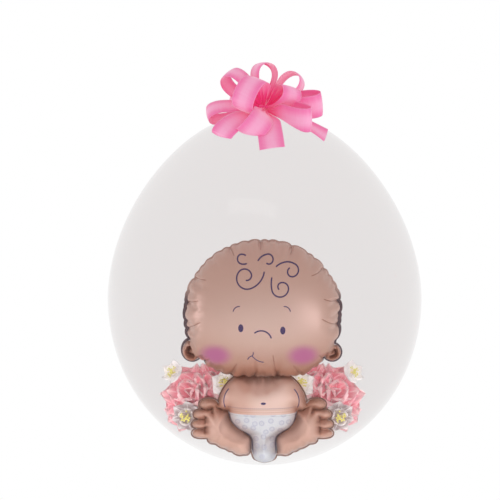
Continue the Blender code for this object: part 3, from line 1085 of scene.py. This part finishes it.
def ear_fold(x, z, radius):
    """The curl inside an ear, open towards the head."""
    turns = EAR_FOLD_START + EAR_FOLD_SWEEP * np.linspace(0, 1, EAR_FOLD_STEPS)
    return np.stack([x + math.copysign(radius, x) * np.cos(turns), z + radius * np.sin(turns)], axis=1)


def foil_welds():
    """The lines along which the front and the back film are welded inside the outline."""
    lines = [curved(HIP_WELD, closed=False)]
    for upper, lower, inner in zip(TOES, TOES[1:], TOE_WELD_ENDS):
        height = (upper[1] - upper[3] + lower[1] + lower[3]) / 2
        ends = (height - TOE_WELD_HALF_HEIGHT, height + TOE_WELD_HALF_HEIGHT)
        lines.append(np.array([(x, height) for x in (TOE_WELD_START, inner)]))
        lines.append(np.array([(inner, end) for end in ends]))
    lines += [mirrored(line) for line in lines]
    sides = [nappy_side(side) for side in (-1, 1)]
    lines += [line[line[:, 1] > NAPPY_WELD_END] for line in sides]
    lines += [ear_fold(x, z, radius) for x, z, _, _, radius in EARS]
    head = head_outline()
    lines.append(head[head[:, 1] < TORSO_CENTRE_Z + TORSO_UP])
    return [evenly(line, False) for line in lines]


def inside(points, *outlines):
    """Which of the points lie in any of the outlines."""
    within = np.zeros(len(points), bool)
    x = points[:, 0][:, None]
    z = points[:, 1][:, None]
    for outline in outlines:
        ahead = np.roll(outline, -1, axis=0)
        crosses = (outline[:, 1] > z) != (ahead[:, 1] > z)
        rise = np.where(ahead[:, 1] == outline[:, 1], TINY, ahead[:, 1] - outline[:, 1])
        meets = outline[:, 0] + (z - outline[:, 1]) * (ahead[:, 0] - outline[:, 0]) / rise
        within |= (crosses & (x < meets)).sum(axis=1) % 2 == 1
    return within


def distance_to(points, line, closed=False):
    """Each point's distance to a line of points, worked out for a batch of points at a time."""
    start = line if closed else line[:-1]
    way = (np.roll(line, -1, axis=0) if closed else line[1:]) - start
    square = np.maximum((way**2).sum(axis=1), TINY**2)
    nearest = np.empty(len(points))
    for first in range(0, len(points), BATCH):
        away = points[first : first + BATCH, None] - start
        share = np.clip((away * way).sum(axis=2) / square, 0, 1)
        rest = away - way * share[..., None]
        nearest[first : first + BATCH] = np.hypot(rest[..., 0], rest[..., 1]).min(axis=1)
    return nearest


def inner_points(outlines, welds):
    """A triangular grid of points inside the outlines, clear of every line."""
    rows = np.arange(NAPPY_OUTLINE[-1][1], HEAD_CENTRE_Z + HEAD_UP, FOIL_SPACING * math.sqrt(3) / 2)
    columns = np.arange(-GRID_HALF_WIDTH, GRID_HALF_WIDTH, FOIL_SPACING)
    grid = np.array([(x + FOIL_SPACING / 2 * (row % 2), z) for row, z in enumerate(rows) for x in columns])
    grid = grid[inside(grid, *outlines)]
    gaps = [distance_to(grid, outline, closed=True) for outline in outlines]
    gaps += [distance_to(grid, weld) for weld in welds]
    return grid[np.min(gaps, axis=0) > LINE_CLEARANCE]


def flat_foil():
    """The flat points and triangles of the figure's union, and its weld lines."""
    outlines = foil_outlines()
    welds = [weld[inside(weld, *outlines)] for weld in foil_welds()]
    points = []
    rings = []
    edges = []
    for outline in outlines:
        rings.append(list(range(len(points), len(points) + len(outline))))
        points += list(outline)
    for weld in welds:
        edges += [(len(points) + step, len(points) + step + 1) for step in range(len(weld) - 1)]
        points += list(weld)
    points += list(inner_points(outlines, welds))
    cut = geometry.delaunay_2d_cdt([Vector(point) for point in points], edges, rings, 1, MERGE_DISTANCE)
    return np.array([tuple(point) for point in cut[0]]), [tuple(face) for face in cut[2]], welds


# The figure's inflated film


def seam_chain(triangles):
    """The edges of the outline as a map from each point to the next one along it."""
    following = {}
    used = {(face[i - 1], face[i]) for face in triangles for i in range(3)}
    for a, b in used:
        if (b, a) not in used:
            following[a] = b
    return following


def inflated(points, faces, held, swell):
    """The closed film's points after it is blown up while its seam and welds stay in place."""
    mesh = bpy.data.meshes.new("flat_foil")
    mesh.from_pydata([tuple(point * SIM_SCALE) for point in points], [], faces)
    film = bpy.data.objects.new("flat_foil", mesh)
    bpy.context.scene.collection.objects.link(film)
    film.vertex_groups.new(name="held").add([int(i) for i in np.flatnonzero(held)], 1.0, "REPLACE")
    share = film.vertex_groups.new(name="swell")
    calmed = film.vertex_groups.new(name="calmed")
    for index, weight in enumerate(swell):
        share.add([index], float(weight), "REPLACE")
        calm_share = 0.0 if held[index] else 1.0 - (1.0 - HEAD_SMOOTHING) * float(weight)
        calmed.add([index], calm_share, "REPLACE")
    cloth = film.modifiers.new("cloth", "CLOTH")
    for name, value in FOIL_CLOTH.items():
        setattr(cloth.settings, name, value)
    cloth.settings.effector_weights.gravity = 0
    cloth.collision_settings.use_collision = False
    cloth.point_cache.frame_end = SIM_FRAMES
    calm = film.modifiers.new("calm", "SMOOTH")
    calm.iterations = SMOOTHING_STEPS
    calm.vertex_group = "calmed"
    for step in range(1, SIM_FRAMES + 1):
        bpy.context.scene.frame_set(step)
    blown = values_of(film.evaluated_get(bpy.context.evaluated_depsgraph_get()).data.vertices, "co", 3)
    bpy.context.scene.frame_set(1)
    bpy.data.objects.remove(film)
    return blown / SIM_SCALE


def foil_film(flat, triangles, held):
    """The closed film's points and faces, blown up, and each point's distance to the nearest held one."""
    edge = flat[held]
    depth = np.array([np.hypot(*(edge - point).T).min() for point in flat])
    free = np.flatnonzero(~held)
    back = np.arange(len(flat))
    back[free] = len(flat) + np.arange(len(free))
    swell = smooth_step((flat[:, 1] - BODY_TOP_Z) / BODY_TO_HEAD)
    reach = BODY_REACH + (HEAD_REACH - BODY_REACH) * swell
    rise = START_ROUND * reach * np.sqrt(1 - (1 - np.minimum(depth / reach, 1)) ** 2)
    front_points = np.stack([flat[:, 0], -rise, flat[:, 1]], axis=1)
    back_points = np.stack([flat[free, 0], rise[free], flat[free, 1]], axis=1)
    points = np.concatenate([front_points, back_points])
    faces = triangles + [tuple(int(back[i]) for i in reversed(face)) for face in triangles]
    held_points = np.concatenate([held, np.zeros(len(free), bool)])
    points = inflated(points, faces, held_points, np.concatenate([swell, swell[free]]))
    return points, faces, np.concatenate([depth, depth[free]])


def seam_width(height):
    """The seam's width: narrow round the body, full round the head, and narrow again over its top."""
    full = smooth_step((height - SEAM_FULL_Z) / BODY_TO_HEAD + 1)
    top = smooth_step((height - SEAM_LIGHT_Z[0]) / SEAM_TOP_FADE)
    share = (SEAM_BODY_SHARE + (1 - SEAM_BODY_SHARE) * full) * (1 - (1 - SEAM_TOP_SHARE) * top)
    return min(SEAM_WIDTH * share, max(height / 2, SEAM_LEAST_WIDTH))


def seam_strip(flat, following, start):
    """The crimped seam that runs round the outline: its points and faces."""
    behind = {b: a for a, b in following.items()}
    points = []
    faces = []
    spots = {}
    for index, ahead in following.items():
        tangent = flat[ahead] - flat[behind.get(index, index)]
        tangent /= max(np.hypot(*tangent), TINY)
        outward = np.array((tangent[1], -tangent[0])) * seam_width(flat[index][1])
        spots[index] = start + len(points)
        for share in SEAM_STRIP:
            x, z = flat[index] + outward * share
            points.append((x, 0.0, z))
    for index, ahead in following.items():
        for step in range(len(SEAM_STRIP) - 1):
            a = spots[index] + step
            b = spots[ahead] + step
            faces.append((a, b, b + 1, a + 1))
    return points, faces


def press_creases(mesh):
    """Presses a narrow valley into the film along each of the head's creases."""
    points = values_of(mesh.vertices, "co", 3)
    normals = values_of(mesh.vertices, "normal", 3)
    seam_gap = values_of(mesh.attributes["seam_gap"].data, "value", 1)[:, 0]
    spots = points[:, [0, 2]] - np.array((FIGURE_X, FIGURE_Z))
    wide, narrow = CREASE_WIDTH_SHARES
    pressed = np.zeros(len(points))
    for start, end in head_creases():
        way = end - start
        share = np.clip(((spots - start) @ way) / (way @ way), 0, 1)
        width = CREASE_WIDTH * (wide + (narrow - wide) * share)
        gap = np.hypot(*(spots - start - way * share[:, None]).T) / width
        valley = np.exp(-(gap**2)) - CREASE_RIDGE_SHARE * np.exp(-((gap - CREASE_RIDGE_PLACE) ** 2))
        pressed += valley * (1 - share) ** CREASE_FADE_POWER
    pressed *= smooth_step(seam_gap / CREASE_START)
    mesh.vertices.foreach_set("co", (points - normals * (CREASE_DEPTH * pressed)[:, None]).ravel())
    mesh.update()


def make_figure():
    flat, triangles, welds = flat_foil()
    following = seam_chain(triangles)
    held = np.min([distance_to(flat, weld) for weld in welds], axis=0) < WELD_REACH
    held[list(following)] = True
    points, faces, edge_gap = foil_film(flat, triangles, held)
    seam, seam_faces = seam_strip(flat, following, len(points))
    placed = np.concatenate([points, np.array(seam)]) + np.array((FIGURE_X, FIGURE_Y, FIGURE_Z))
    figure = mesh_object("foil_baby_figure", placed, faces + seam_faces, [foil_finish()])
    keep_values(figure.data, "seam_gap", np.concatenate([edge_gap, np.full(len(seam), SEAM_GAP)]))
    finer = figure.modifiers.new("finer", "SUBSURF")
    finer.levels = 1
    finer.render_levels = 1
    applied(figure)
    press_creases(figure.data)
    nappy = nappy_outline()
    spots = values_of(figure.data.vertices, "co", 3)[:, [0, 2]] - np.array((FIGURE_X, FIGURE_Z))
    side = np.where(inside(spots, nappy), 1, -1)
    keep_values(figure.data, "nappy_gap", distance_to(spots, nappy, closed=True) * side)
    return figure


# The figure's print


def arc_between(start, end, bow):
    """The centre, radius, middle angle and half sweep of an arc through both ends."""
    start = np.array(start)
    end = np.array(end)
    way = end - start
    half = np.hypot(*way) / 2
    left = np.array((-way[1], way[0])) / (2 * half)
    radius = (half**2 + bow**2) / (2 * abs(bow))
    centre = (start + end) / 2 + left * (bow - math.copysign(radius, bow))
    outward = left * math.copysign(1, bow)
    half_sweep = math.asin(min(half / radius, 1.0))
    return centre[0], centre[1], radius, math.atan2(outward[1], outward[0]), half_sweep


def curl_arcs(x, z, heading, turns):
    """Arcs that follow on from each other. Positive turns bend to the left."""
    heading = math.radians(heading)
    arcs = []
    for radius, degrees in turns:
        sweep = math.radians(degrees)
        side = math.copysign(1, sweep)
        centre_x = x - side * radius * math.sin(heading)
        centre_z = z + side * radius * math.cos(heading)
        start = heading - side * math.pi / 2
        arcs.append((centre_x, centre_z, radius, start + sweep / 2, abs(sweep) / 2))
        heading += sweep
        x = centre_x + radius * math.cos(start + sweep)
        z = centre_z + radius * math.sin(start + sweep)
    return arcs


def flipped(arc):
    """The arc, mirrored from right to left."""
    x, z, radius, middle, half_sweep = arc
    return -x, z, radius, math.pi - middle, half_sweep


def arc_group():
    """A node group that gives the distance of a point to an arc."""
    tree = bpy.data.node_groups.new("distance_to_arc", "ShaderNodeTree")
    for name, kind in ARC_SOCKETS.items():
        tree.interface.new_socket(name, in_out="INPUT", socket_type=kind)
    tree.interface.new_socket("Distance", in_out="OUTPUT", socket_type="NodeSocketFloat")
    given = tree.nodes.new("NodeGroupInput").outputs
    place, centre, radius, middle, half_sweep = (Field(given[name]) for name in ARC_SOCKETS)
    away = place.vector("SUBTRACT", centre)
    level = node(tree, "ShaderNodeVectorRotate", away, None, None, middle * -1.0, rotation_type="Z_AXIS")
    ahead, aside, _ = level.parts()
    aside = abs(aside)
    within = aside.maths("ARCTAN2", ahead).maths("LESS_THAN", half_sweep)
    from_ring = abs(level.length() - radius)
    end_x = ahead - radius * half_sweep.maths("COSINE")
    end_y = aside - radius * half_sweep.maths("SINE")
    from_end = (end_x * end_x + end_y * end_y).maths("SQRT")
    chosen = node(tree, "ShaderNodeMix", within, None, from_end, from_ring)
    fill(tree.nodes.new("NodeGroupOutput").inputs[0], chosen)
    return tree


def nearest_stroke(place, arcs):
    """The distance of the place to the nearest arc."""
    group = arc_group()
    nearest = None
    for x, z, *sizes in arcs:
        gap = node(place.tree, "ShaderNodeGroup", place, (x, z, 0), *sizes, node_tree=group)
        nearest = nearest.maths("MINIMUM", gap) if nearest else gap
    return nearest


def ink_line(place, arcs, half_width):
    """1 on the arcs and 0 beside them."""
    return nearest_stroke(place, arcs).fade(half_width + STROKE_BLUR, half_width - STROKE_BLUR)


def in_oval(place, shape, limits, strength=1.0):
    """The strength within an oval, fading out between two limits, in radii from its centre."""
    x, z, half_width, half_height = shape
    away = place.vector("SUBTRACT", (x, z, 0)).vector("MULTIPLY", (1 / half_width, 1 / half_height, 0))
    return away.length().fade(*limits, 0.0, strength)


def foil_shade(spot, x, z, gap):
    """Darker beside the seam and welds, partly the print's airbrushed edge and partly painted shade; painted
    shade towards the seam, under the chin, at the top of the chest and low on the feet; and darker on all of
    the feet.
    """
    head = z.fade(BODY_TOP_Z + BODY_TO_HEAD, BODY_TOP_Z + BODY_TO_HEAD * 2)
    reach = head * (HEAD_SHADE_REACH - BODY_SHADE_REACH) + BODY_SHADE_REACH
    near = (gap / reach * -1.0 + 1.0).most(0.0, gap.fade(RIM_SHADE_REACH, 0.0, 0.0, RIM_SHADE))
    above_neck = z.fade(*NECK_Z)
    ear = abs(x).fade(*EAR_X) * above_neck
    near *= z.fade(*SEAM_LIGHT_Z, 1.0, TOP_SHADE_SHARE)
    near *= z.fade(*FEET_SHADE_Z, 1.0, FEET_SEAM_SHARE)
    near *= ear * (EAR_SHADE_SHARE - 1) + 1.0
    shade = near.most(
        z.fade(*CHIN_SHADE_Z, 0.0, CHIN_SHADE) * above_neck,
        z.fade(*CHEST_SHADE_Z, 0.0, CHEST_SHADE) * z.fade(*NECK_Z[::-1]),
        z.fade(*FEET_SHADE_Z, 0.0, FEET_SHADE),
        z.fade(*FEET_LOW_Z, 0.0, FEET_LOW_SHADE),
    )
    return shade * (spot.noise(MOTTLE_SCALE, detail=2.0) * MOTTLE_STRENGTH + MOTTLE_LEAST)


def foil_painted_light(place, x, z):
    """Painted light on the foil: paler on the chest, on one heel and in the middle of the face."""
    chest = z.fade(*CHEST_LIGHT_Z) * z.fade(*CHEST_LIGHT_TOP, 0.0, CHEST_LIGHT)
    chest *= abs(x - CHEST_LIGHT_X).fade(*CHEST_LIGHT_REACH)
    heel = in_oval(place, HEEL_LIGHT_OVAL, HEEL_LIGHT_FADE, HEEL_LIGHT)
    return chest.most(heel, in_oval(place, FACE_LIGHT_OVAL, FACE_LIGHT_FADE, FACE_LIGHT))


def crease_shade_lines(place):
    """Painted shade along the head's creases: 1 in the middle of each, fading to its sides."""
    ends = head_creases()
    arcs = [arc_between(start + FIGURE_PLACE, end + FIGURE_PLACE, CREASE_BOW) for start, end in ends]
    return nearest_stroke(place, arcs).fade(CREASE_SHADE_HALF_WIDTH * 2, 0.0)


def nappy_cloth(place, z):
    """White, with painted shade low down, and a faint generic print."""
    cells = place.tree.nodes.new("ShaderNodeTexVoronoi")
    cells.voronoi_dimensions = "2D"
    cells.inputs["Scale"].default_value = MOTIF_SCALE
    cells.inputs["Randomness"].default_value = MOTIF_RANDOMNESS
    fill(cells.inputs["Vector"], place)
    away = Field(cells.outputs["Distance"])
    ring = abs(away - MOTIF_RING_RADIUS).fade(*MOTIF_RING_EDGE)
    motif = ring.most(away.fade(*MOTIF_DOT_EDGE)) * MOTIF_STRENGTH
    # painted shade low on the nappy
    cloth = z.fade(*NAPPY_PAINTED_SHADE_Z).mix(NAPPY_COLOUR, NAPPY_PAINTED_SHADE)
    return motif.mix(cloth, MOTIF_COLOUR)


def stitched(colour, x, z, front):
    """The colour with the rows of stitches across the nappy's band."""
    wave = (x * (math.tau / STITCH_PITCH)).maths("SINE")
    dash = wave.fade(*STITCH_BREAK, 0.0, STITCH_STRENGTH) * abs(x).fade(*BAND_END) * front
    for height, thread in BAND_STITCHES:
        row = abs(z - height).fade(STITCH_HALF_WIDTH + STROKE_BLUR, STITCH_HALF_WIDTH)
        colour = (row * dash).mix(colour, thread)
    return colour


def drawn_lines(place, z, front, nappy_gap):
    """1 on the face's strokes, the eyes, the curls and the navel, and less on the nappy's edge."""
    brow = arc_between(*BROW)
    arm = arc_between(*ARM_LINE)
    fine = [brow, flipped(brow), arm, flipped(arm), *(arc_between(*stroke) for stroke in MOUTH)]
    bold = [arc_between(*NOSE), *(arc for curl in CURLS for arc in curl_arcs(*curl))]
    ink = ink_line(place, fine, STROKE_HALF_WIDTH).most(
        ink_line(place, bold, CURL_HALF_WIDTH),
        *(in_oval(place, shape, EYE_FADE) for shape in EYE_OVALS),
        in_oval(place, NAVEL_OVAL, NAVEL_FADE),
    )
    edge = abs(nappy_gap - NAPPY_LINE_GAP).fade(*NAPPY_LINE_EDGE)
    edge *= z.fade(*NAPPY_LINE_TOP) * z.fade(*NAPPY_LINE_FOOT)
    return (ink * front).most(edge * NAPPY_LINE_STRENGTH)


def foil_finish():
    """Satin printed foil: tan, darker at its seams partly by the print's airbrushed edge and partly by
    painted shade, with painted shade and painted light elsewhere, painted shade along the head's creases, a
    drawn face and a white nappy.
    """
    made, tree, shader = finish("tan_foil", FOIL_COLOUR, metallic=0.5, roughness=0.38)
    spot = place_in_object(tree)
    x, y, z = spot.parts()
    x -= FACE_X
    place = node(tree, "ShaderNodeCombineXYZ", x, z)
    front = y.maths("LESS_THAN", FIGURE_Y)
    seam_gap = attribute(tree, "seam_gap")
    nappy_gap = attribute(tree, "nappy_gap")
    # painted shade, partly the print's airbrushed edge by the seams
    colour = foil_shade(spot, x, z, seam_gap).mix(FOIL_COLOUR, FOIL_SHADE)
    # painted light on the chest, one heel and the middle of the face
    colour = foil_painted_light(place, x, z).mix(colour, FOIL_PAINTED_LIGHT)
    for shape in CHEEK_OVALS:
        colour = (in_oval(place, shape, CHEEK_FADE, CHEEK_STRENGTH) * front).mix(colour, CHEEK_COLOUR)
    # painted shade along the head's creases
    colour = (crease_shade_lines(place) * CREASE_SHADE_STRENGTH).mix(colour, CREASE_SHADE_COLOUR)
    colour = nappy_gap.fade(*NAPPY_EDGE).mix(colour, nappy_cloth(place, z))
    colour = stitched(colour, x, z, front)
    colour = drawn_lines(place, z, front, nappy_gap).mix(colour, INK)
    seam_colour = z.fade(*SEAM_LIGHT_Z).mix(SEAM_COLOUR, SEAM_LIGHT)
    seam_colour = z.fade(*SEAM_BODY_Z).mix(seam_colour, SEAM_BODY_COLOUR)
    colour = seam_gap.fade(*SEAM_EDGE).mix(colour, seam_colour)
    fill(shader.inputs["Base Color"], colour)
    bump(shader, spot.noise(scale=260.0, detail=2.0), strength=0.05, distance=0.0004)
    return made


# The flowers


def petal(length, width, ruffle, phase):
    """Points of one petal that grows along y from the middle of its flower, z being its inner side."""
    points = []
    for row in range(PETAL_ROWS + 1):
        share = row / PETAL_ROWS
        full = max(math.sin(math.pi * share**PETAL_WIDEST_POWER), 0.0) ** PETAL_FULLNESS_POWER
        half = width / 2 * (full + PETAL_STALK_SHARE)
        for column in range(PETAL_COLUMNS + 1):
            place = 2 * column / PETAL_COLUMNS - 1
            wave = math.sin(RUFFLE_TURNS * math.tau * place + phase)
            wave += FINE_RUFFLE_SHARE * math.sin(FINE_RUFFLE_TURNS * math.tau * place + 2 * phase)
            cup = PETAL_CUP * width * place**2 * share * (1 - PETAL_FLATTENING * share)
            roll = PETAL_ROLL * length * share**PETAL_ROLL_POWER
            ruffled = ruffle * length / 2 * share**2 * wave * (1 - RUFFLE_EDGE_SHARE * (1 - abs(place)))
            along = length * share * (1 - PETAL_ROUNDING * place**2)
            points.append(Vector((half * place, along, cup - roll + ruffled)))
    return points


def flower(place, facing, rings, random):
    """Every petal's points, and each point's place on its petal as (across, along, petal's own number)."""
    axis = Vector(facing).normalized()
    side = axis.cross(Vector((0, 0, 1))).normalized()
    over = side.cross(axis)
    points = []
    spots = []
    for count, length, width, tilt, ruffle in rings:
        turn = random.uniform(0, math.tau)
        for number in range(count):
            around = turn + math.tau * number / count + random.uniform(-PETAL_TURN_JITTER, PETAL_TURN_JITTER)
            lean = math.radians(tilt) + random.uniform(-PETAL_LEAN_JITTER, PETAL_LEAN_JITTER)
            outward = side * math.cos(around) + over * math.sin(around)
            along = axis * math.cos(lean) + outward * math.sin(lean)
            across = axis.cross(outward)
            inner = across.cross(along)
            scale = random.uniform(*PETAL_SCALES)
            own = random.uniform(0, 1)
            leaf = petal(length * scale, width * scale, ruffle, random.uniform(0, math.tau))
            for index, spot in enumerate(leaf):
                points.append(Vector(place) + across * spot.x + along * spot.y + inner * spot.z)
                row, column = divmod(index, PETAL_COLUMNS + 1)
                spots.append((2 * column / PETAL_COLUMNS - 1, row / PETAL_ROWS, own))
    return points, spots


def stamens(place, facing, radius, random):
    """A tuft of short threads with small heads, as points and faces."""
    axis = Vector(facing).normalized()
    side = axis.orthogonal().normalized()
    over = axis.cross(side)
    points = []
    faces = []
    for _ in range(STAMENS):
        lean = random.uniform(0, STAMEN_LEAN)
        turn = random.uniform(0, math.tau)
        way = (axis + (side * math.cos(turn) + over * math.sin(turn)) * math.tan(lean)).normalized()
        tip = Vector(place) + way * radius * random.uniform(*STAMEN_REACHES)
        first = way.orthogonal().normalized()
        second = way.cross(first)
        start = len(points)
        faces += grid_faces(len(STAMEN_RINGS), STAMEN_SIDES, start=start, closed=True)
        for reach, wide in STAMEN_RINGS:
            for angle in (math.tau * column / STAMEN_SIDES for column in range(STAMEN_SIDES)):
                ring = (first * math.cos(angle) + second * math.sin(angle)) * STAMEN_HEAD_SHARE * wide
                points.append(tip + (way * reach + ring) * radius)
        last = len(points) - STAMEN_SIDES
        for column in range(STAMEN_SIDES):
            faces.append((last + column, last + (column + 1) % STAMEN_SIDES, len(points)))
        points.append(tip + way * radius * STAMEN_TIP)
    return points, faces


def petal_finish(name, base, middle, tip):
    """Thin fabric petal: deeper at its base, lighter at its tip, with soft veins and streaks of painted
    sheen along them.
    """
    made, tree, shader = finish(name, middle, roughness=0.48, sheen_weight=0.35, sheen_roughness=0.4)
    place = attribute(tree, "petal_place", "Vector")
    veins = place.vector("MULTIPLY", PETAL_VEIN_SCALE).noise(scale=1.0, detail=2.0)
    reach = place.parts()[1] + (veins - 0.5) * PETAL_VEIN_REACH
    colour = reach.fade(*PETAL_BASE_FADE).mix(base, middle)
    colour = reach.fade(*PETAL_TIP_FADE).mix(colour, tip)
    # painted sheen in streaks along the veins
    colour = veins.fade(*PETAL_SHEEN_FADE).mix(colour, tip)
    fill(shader.inputs["Base Color"], colour)
    bump(shader, veins, strength=0.35, distance=0.0012)
    return made


def stamen_finish():
    made, tree, shader = finish("stamens", STAMEN_COLOUR, roughness=0.7)
    speck = place_in_object(tree).noise(scale=900.0, detail=2.0)
    fill(shader.inputs["Base Color"], speck.mix(STAMEN_DEEP, STAMEN_LIGHT))
    return made


def make_bouquet(name, side, finishes):
    """Three pink blooms, two white ones and a silver one. The right bouquet mirrors the left one."""
    random = np.random.default_rng(FLOWER_SEED)
    points = []
    faces = []
    spots = []
    slots = []
    rows = PETAL_ROWS + 1
    columns = PETAL_COLUMNS + 1
    for place, facing, kind, stamen_radius, rings in FLOWERS:
        leaves, where = flower(place, facing, rings, random)
        for first in range(0, len(leaves), rows * columns):
            faces += grid_faces(rows, columns, start=len(points) + first)
        slots += [kind] * (len(faces) - len(slots))
        points += leaves
        spots += where
        if stamen_radius:
            tuft, tuft_faces = stamens(place, facing, stamen_radius, random)
            faces += [tuple(index + len(points) for index in face) for face in tuft_faces]
            slots += [YELLOW] * len(tuft_faces)
            points += tuft
            spots += [(0, 0, 0)] * len(tuft)
    placed = [(FLOWER_X + side * point.x, point.y, point.z) for point in points]
    bouquet = mesh_object(name, placed, faces, finishes)
    bouquet.data.polygons.foreach_set("material_index", slots)
    keep_values(bouquet.data, "petal_place", spots)
    return bouquet


def make_flowers():
    finishes = [
        petal_finish("pink_petals", BLOOM_DEEP, BLOOM_PINK, BLOOM_LIGHT),
        petal_finish("white_petals", WHITE_BASE, WHITE_PETAL, WHITE_PETAL),
        petal_finish("silver_petals", SILVER_PETAL, SILVER_PETAL, SILVER_LIGHT),
        stamen_finish(),
    ]
    return [make_bouquet("flowers_left", -1, finishes), make_bouquet("flowers_right", 1, finishes)]


# Stage, light and camera


def make_camera():
    camera = bpy.data.objects.new("camera", bpy.data.cameras.new("camera"))
    camera.data.lens = CAMERA_LENS
    away = Vector((0, -math.cos(CAMERA_ELEVATION), math.sin(CAMERA_ELEVATION)))
    camera.location = CAMERA_AIM + away * CAMERA_DISTANCE
    camera.rotation_euler = (math.pi / 2 - CAMERA_ELEVATION, 0, 0)
    bpy.context.scene.collection.objects.link(camera)
    bpy.context.scene.camera = camera


def make_light(lit, name, place, aim, width, height, power, colour, beam, mirrored):
    """A soft box for the pieces in the collection that it lights."""
    data = bpy.data.lights.new(name, "AREA")
    data.shape = "RECTANGLE"
    data.size = width
    data.size_y = height
    data.energy = power
    data.color = colour
    data.spread = math.radians(beam)
    light = bpy.data.objects.new(name, data)
    light.light_linking.receiver_collection = lit
    light.visible_glossy = mirrored
    light.visible_camera = False
    light.location = place
    light.rotation_euler = (Vector(aim) - Vector(place)).to_track_quat("-Z", "Y").to_euler()
    bpy.context.scene.collection.objects.link(light)


def make_floor():
    """A floor that shines as white as the backdrop, so the piece casts no shadow on it."""
    white = finish(
        "white_floor",
        (0.0, 0.0, 0.0),
        roughness=1.0,
        specular_ior_level=0.0,
        emission_color=NEUTRAL,
        emission_strength=BACKDROP_LIGHT,
    )[0]
    size = FLOOR_HALF_SIZE
    corners = [(x, y, FLOOR_Z) for x, y in ((-size, -size), (size, -size), (size, size), (-size, size))]
    floor = mesh_object("floor", corners, [(0, 1, 2, 3)], [white])
    floor.parent = None


def make_world():
    """White all round: a little dimmer as a light than as the backdrop that the camera sees."""
    world = bpy.data.worlds.new("white_room")
    bpy.context.scene.world = world
    world.use_nodes = True
    backdrop = world.node_tree.nodes["Background"]
    seen = node(world.node_tree, "ShaderNodeLightPath", output="Is Camera Ray")
    level = node(world.node_tree, "ShaderNodeMapRange", seen, 0.0, 1.0, ROOM_LIGHT, BACKDROP_LIGHT)
    fill(backdrop.inputs["Strength"], level)
    fill(backdrop.inputs["Color"], NEUTRAL)


def lit_together(name, pieces):
    """A collection of the pieces that the same lights fall on."""
    group = bpy.data.collections.new(name)
    for piece in pieces:
        group.objects.link(piece)
    return group


ribbon = ribbon_finish()
film = make_film()
bow_pieces = make_bow(ribbon)
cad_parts["neck_tie"].data.materials.clear()
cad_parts["neck_tie"].data.materials.append(ribbon)
pieces = [*bow_pieces, make_figure(), *make_flowers()]
make_floor()
make_world()
make_camera()
for piece in bow_pieces:
    piece.visible_glossy = False
groups = {"film": lit_together("lit_film", [film]), "pieces": lit_together("lit_pieces", pieces)}
for name, lit, *settings in LIGHTS:
    make_light(groups[lit], name, *settings)
bpy.context.scene.view_settings.view_transform = "Standard"
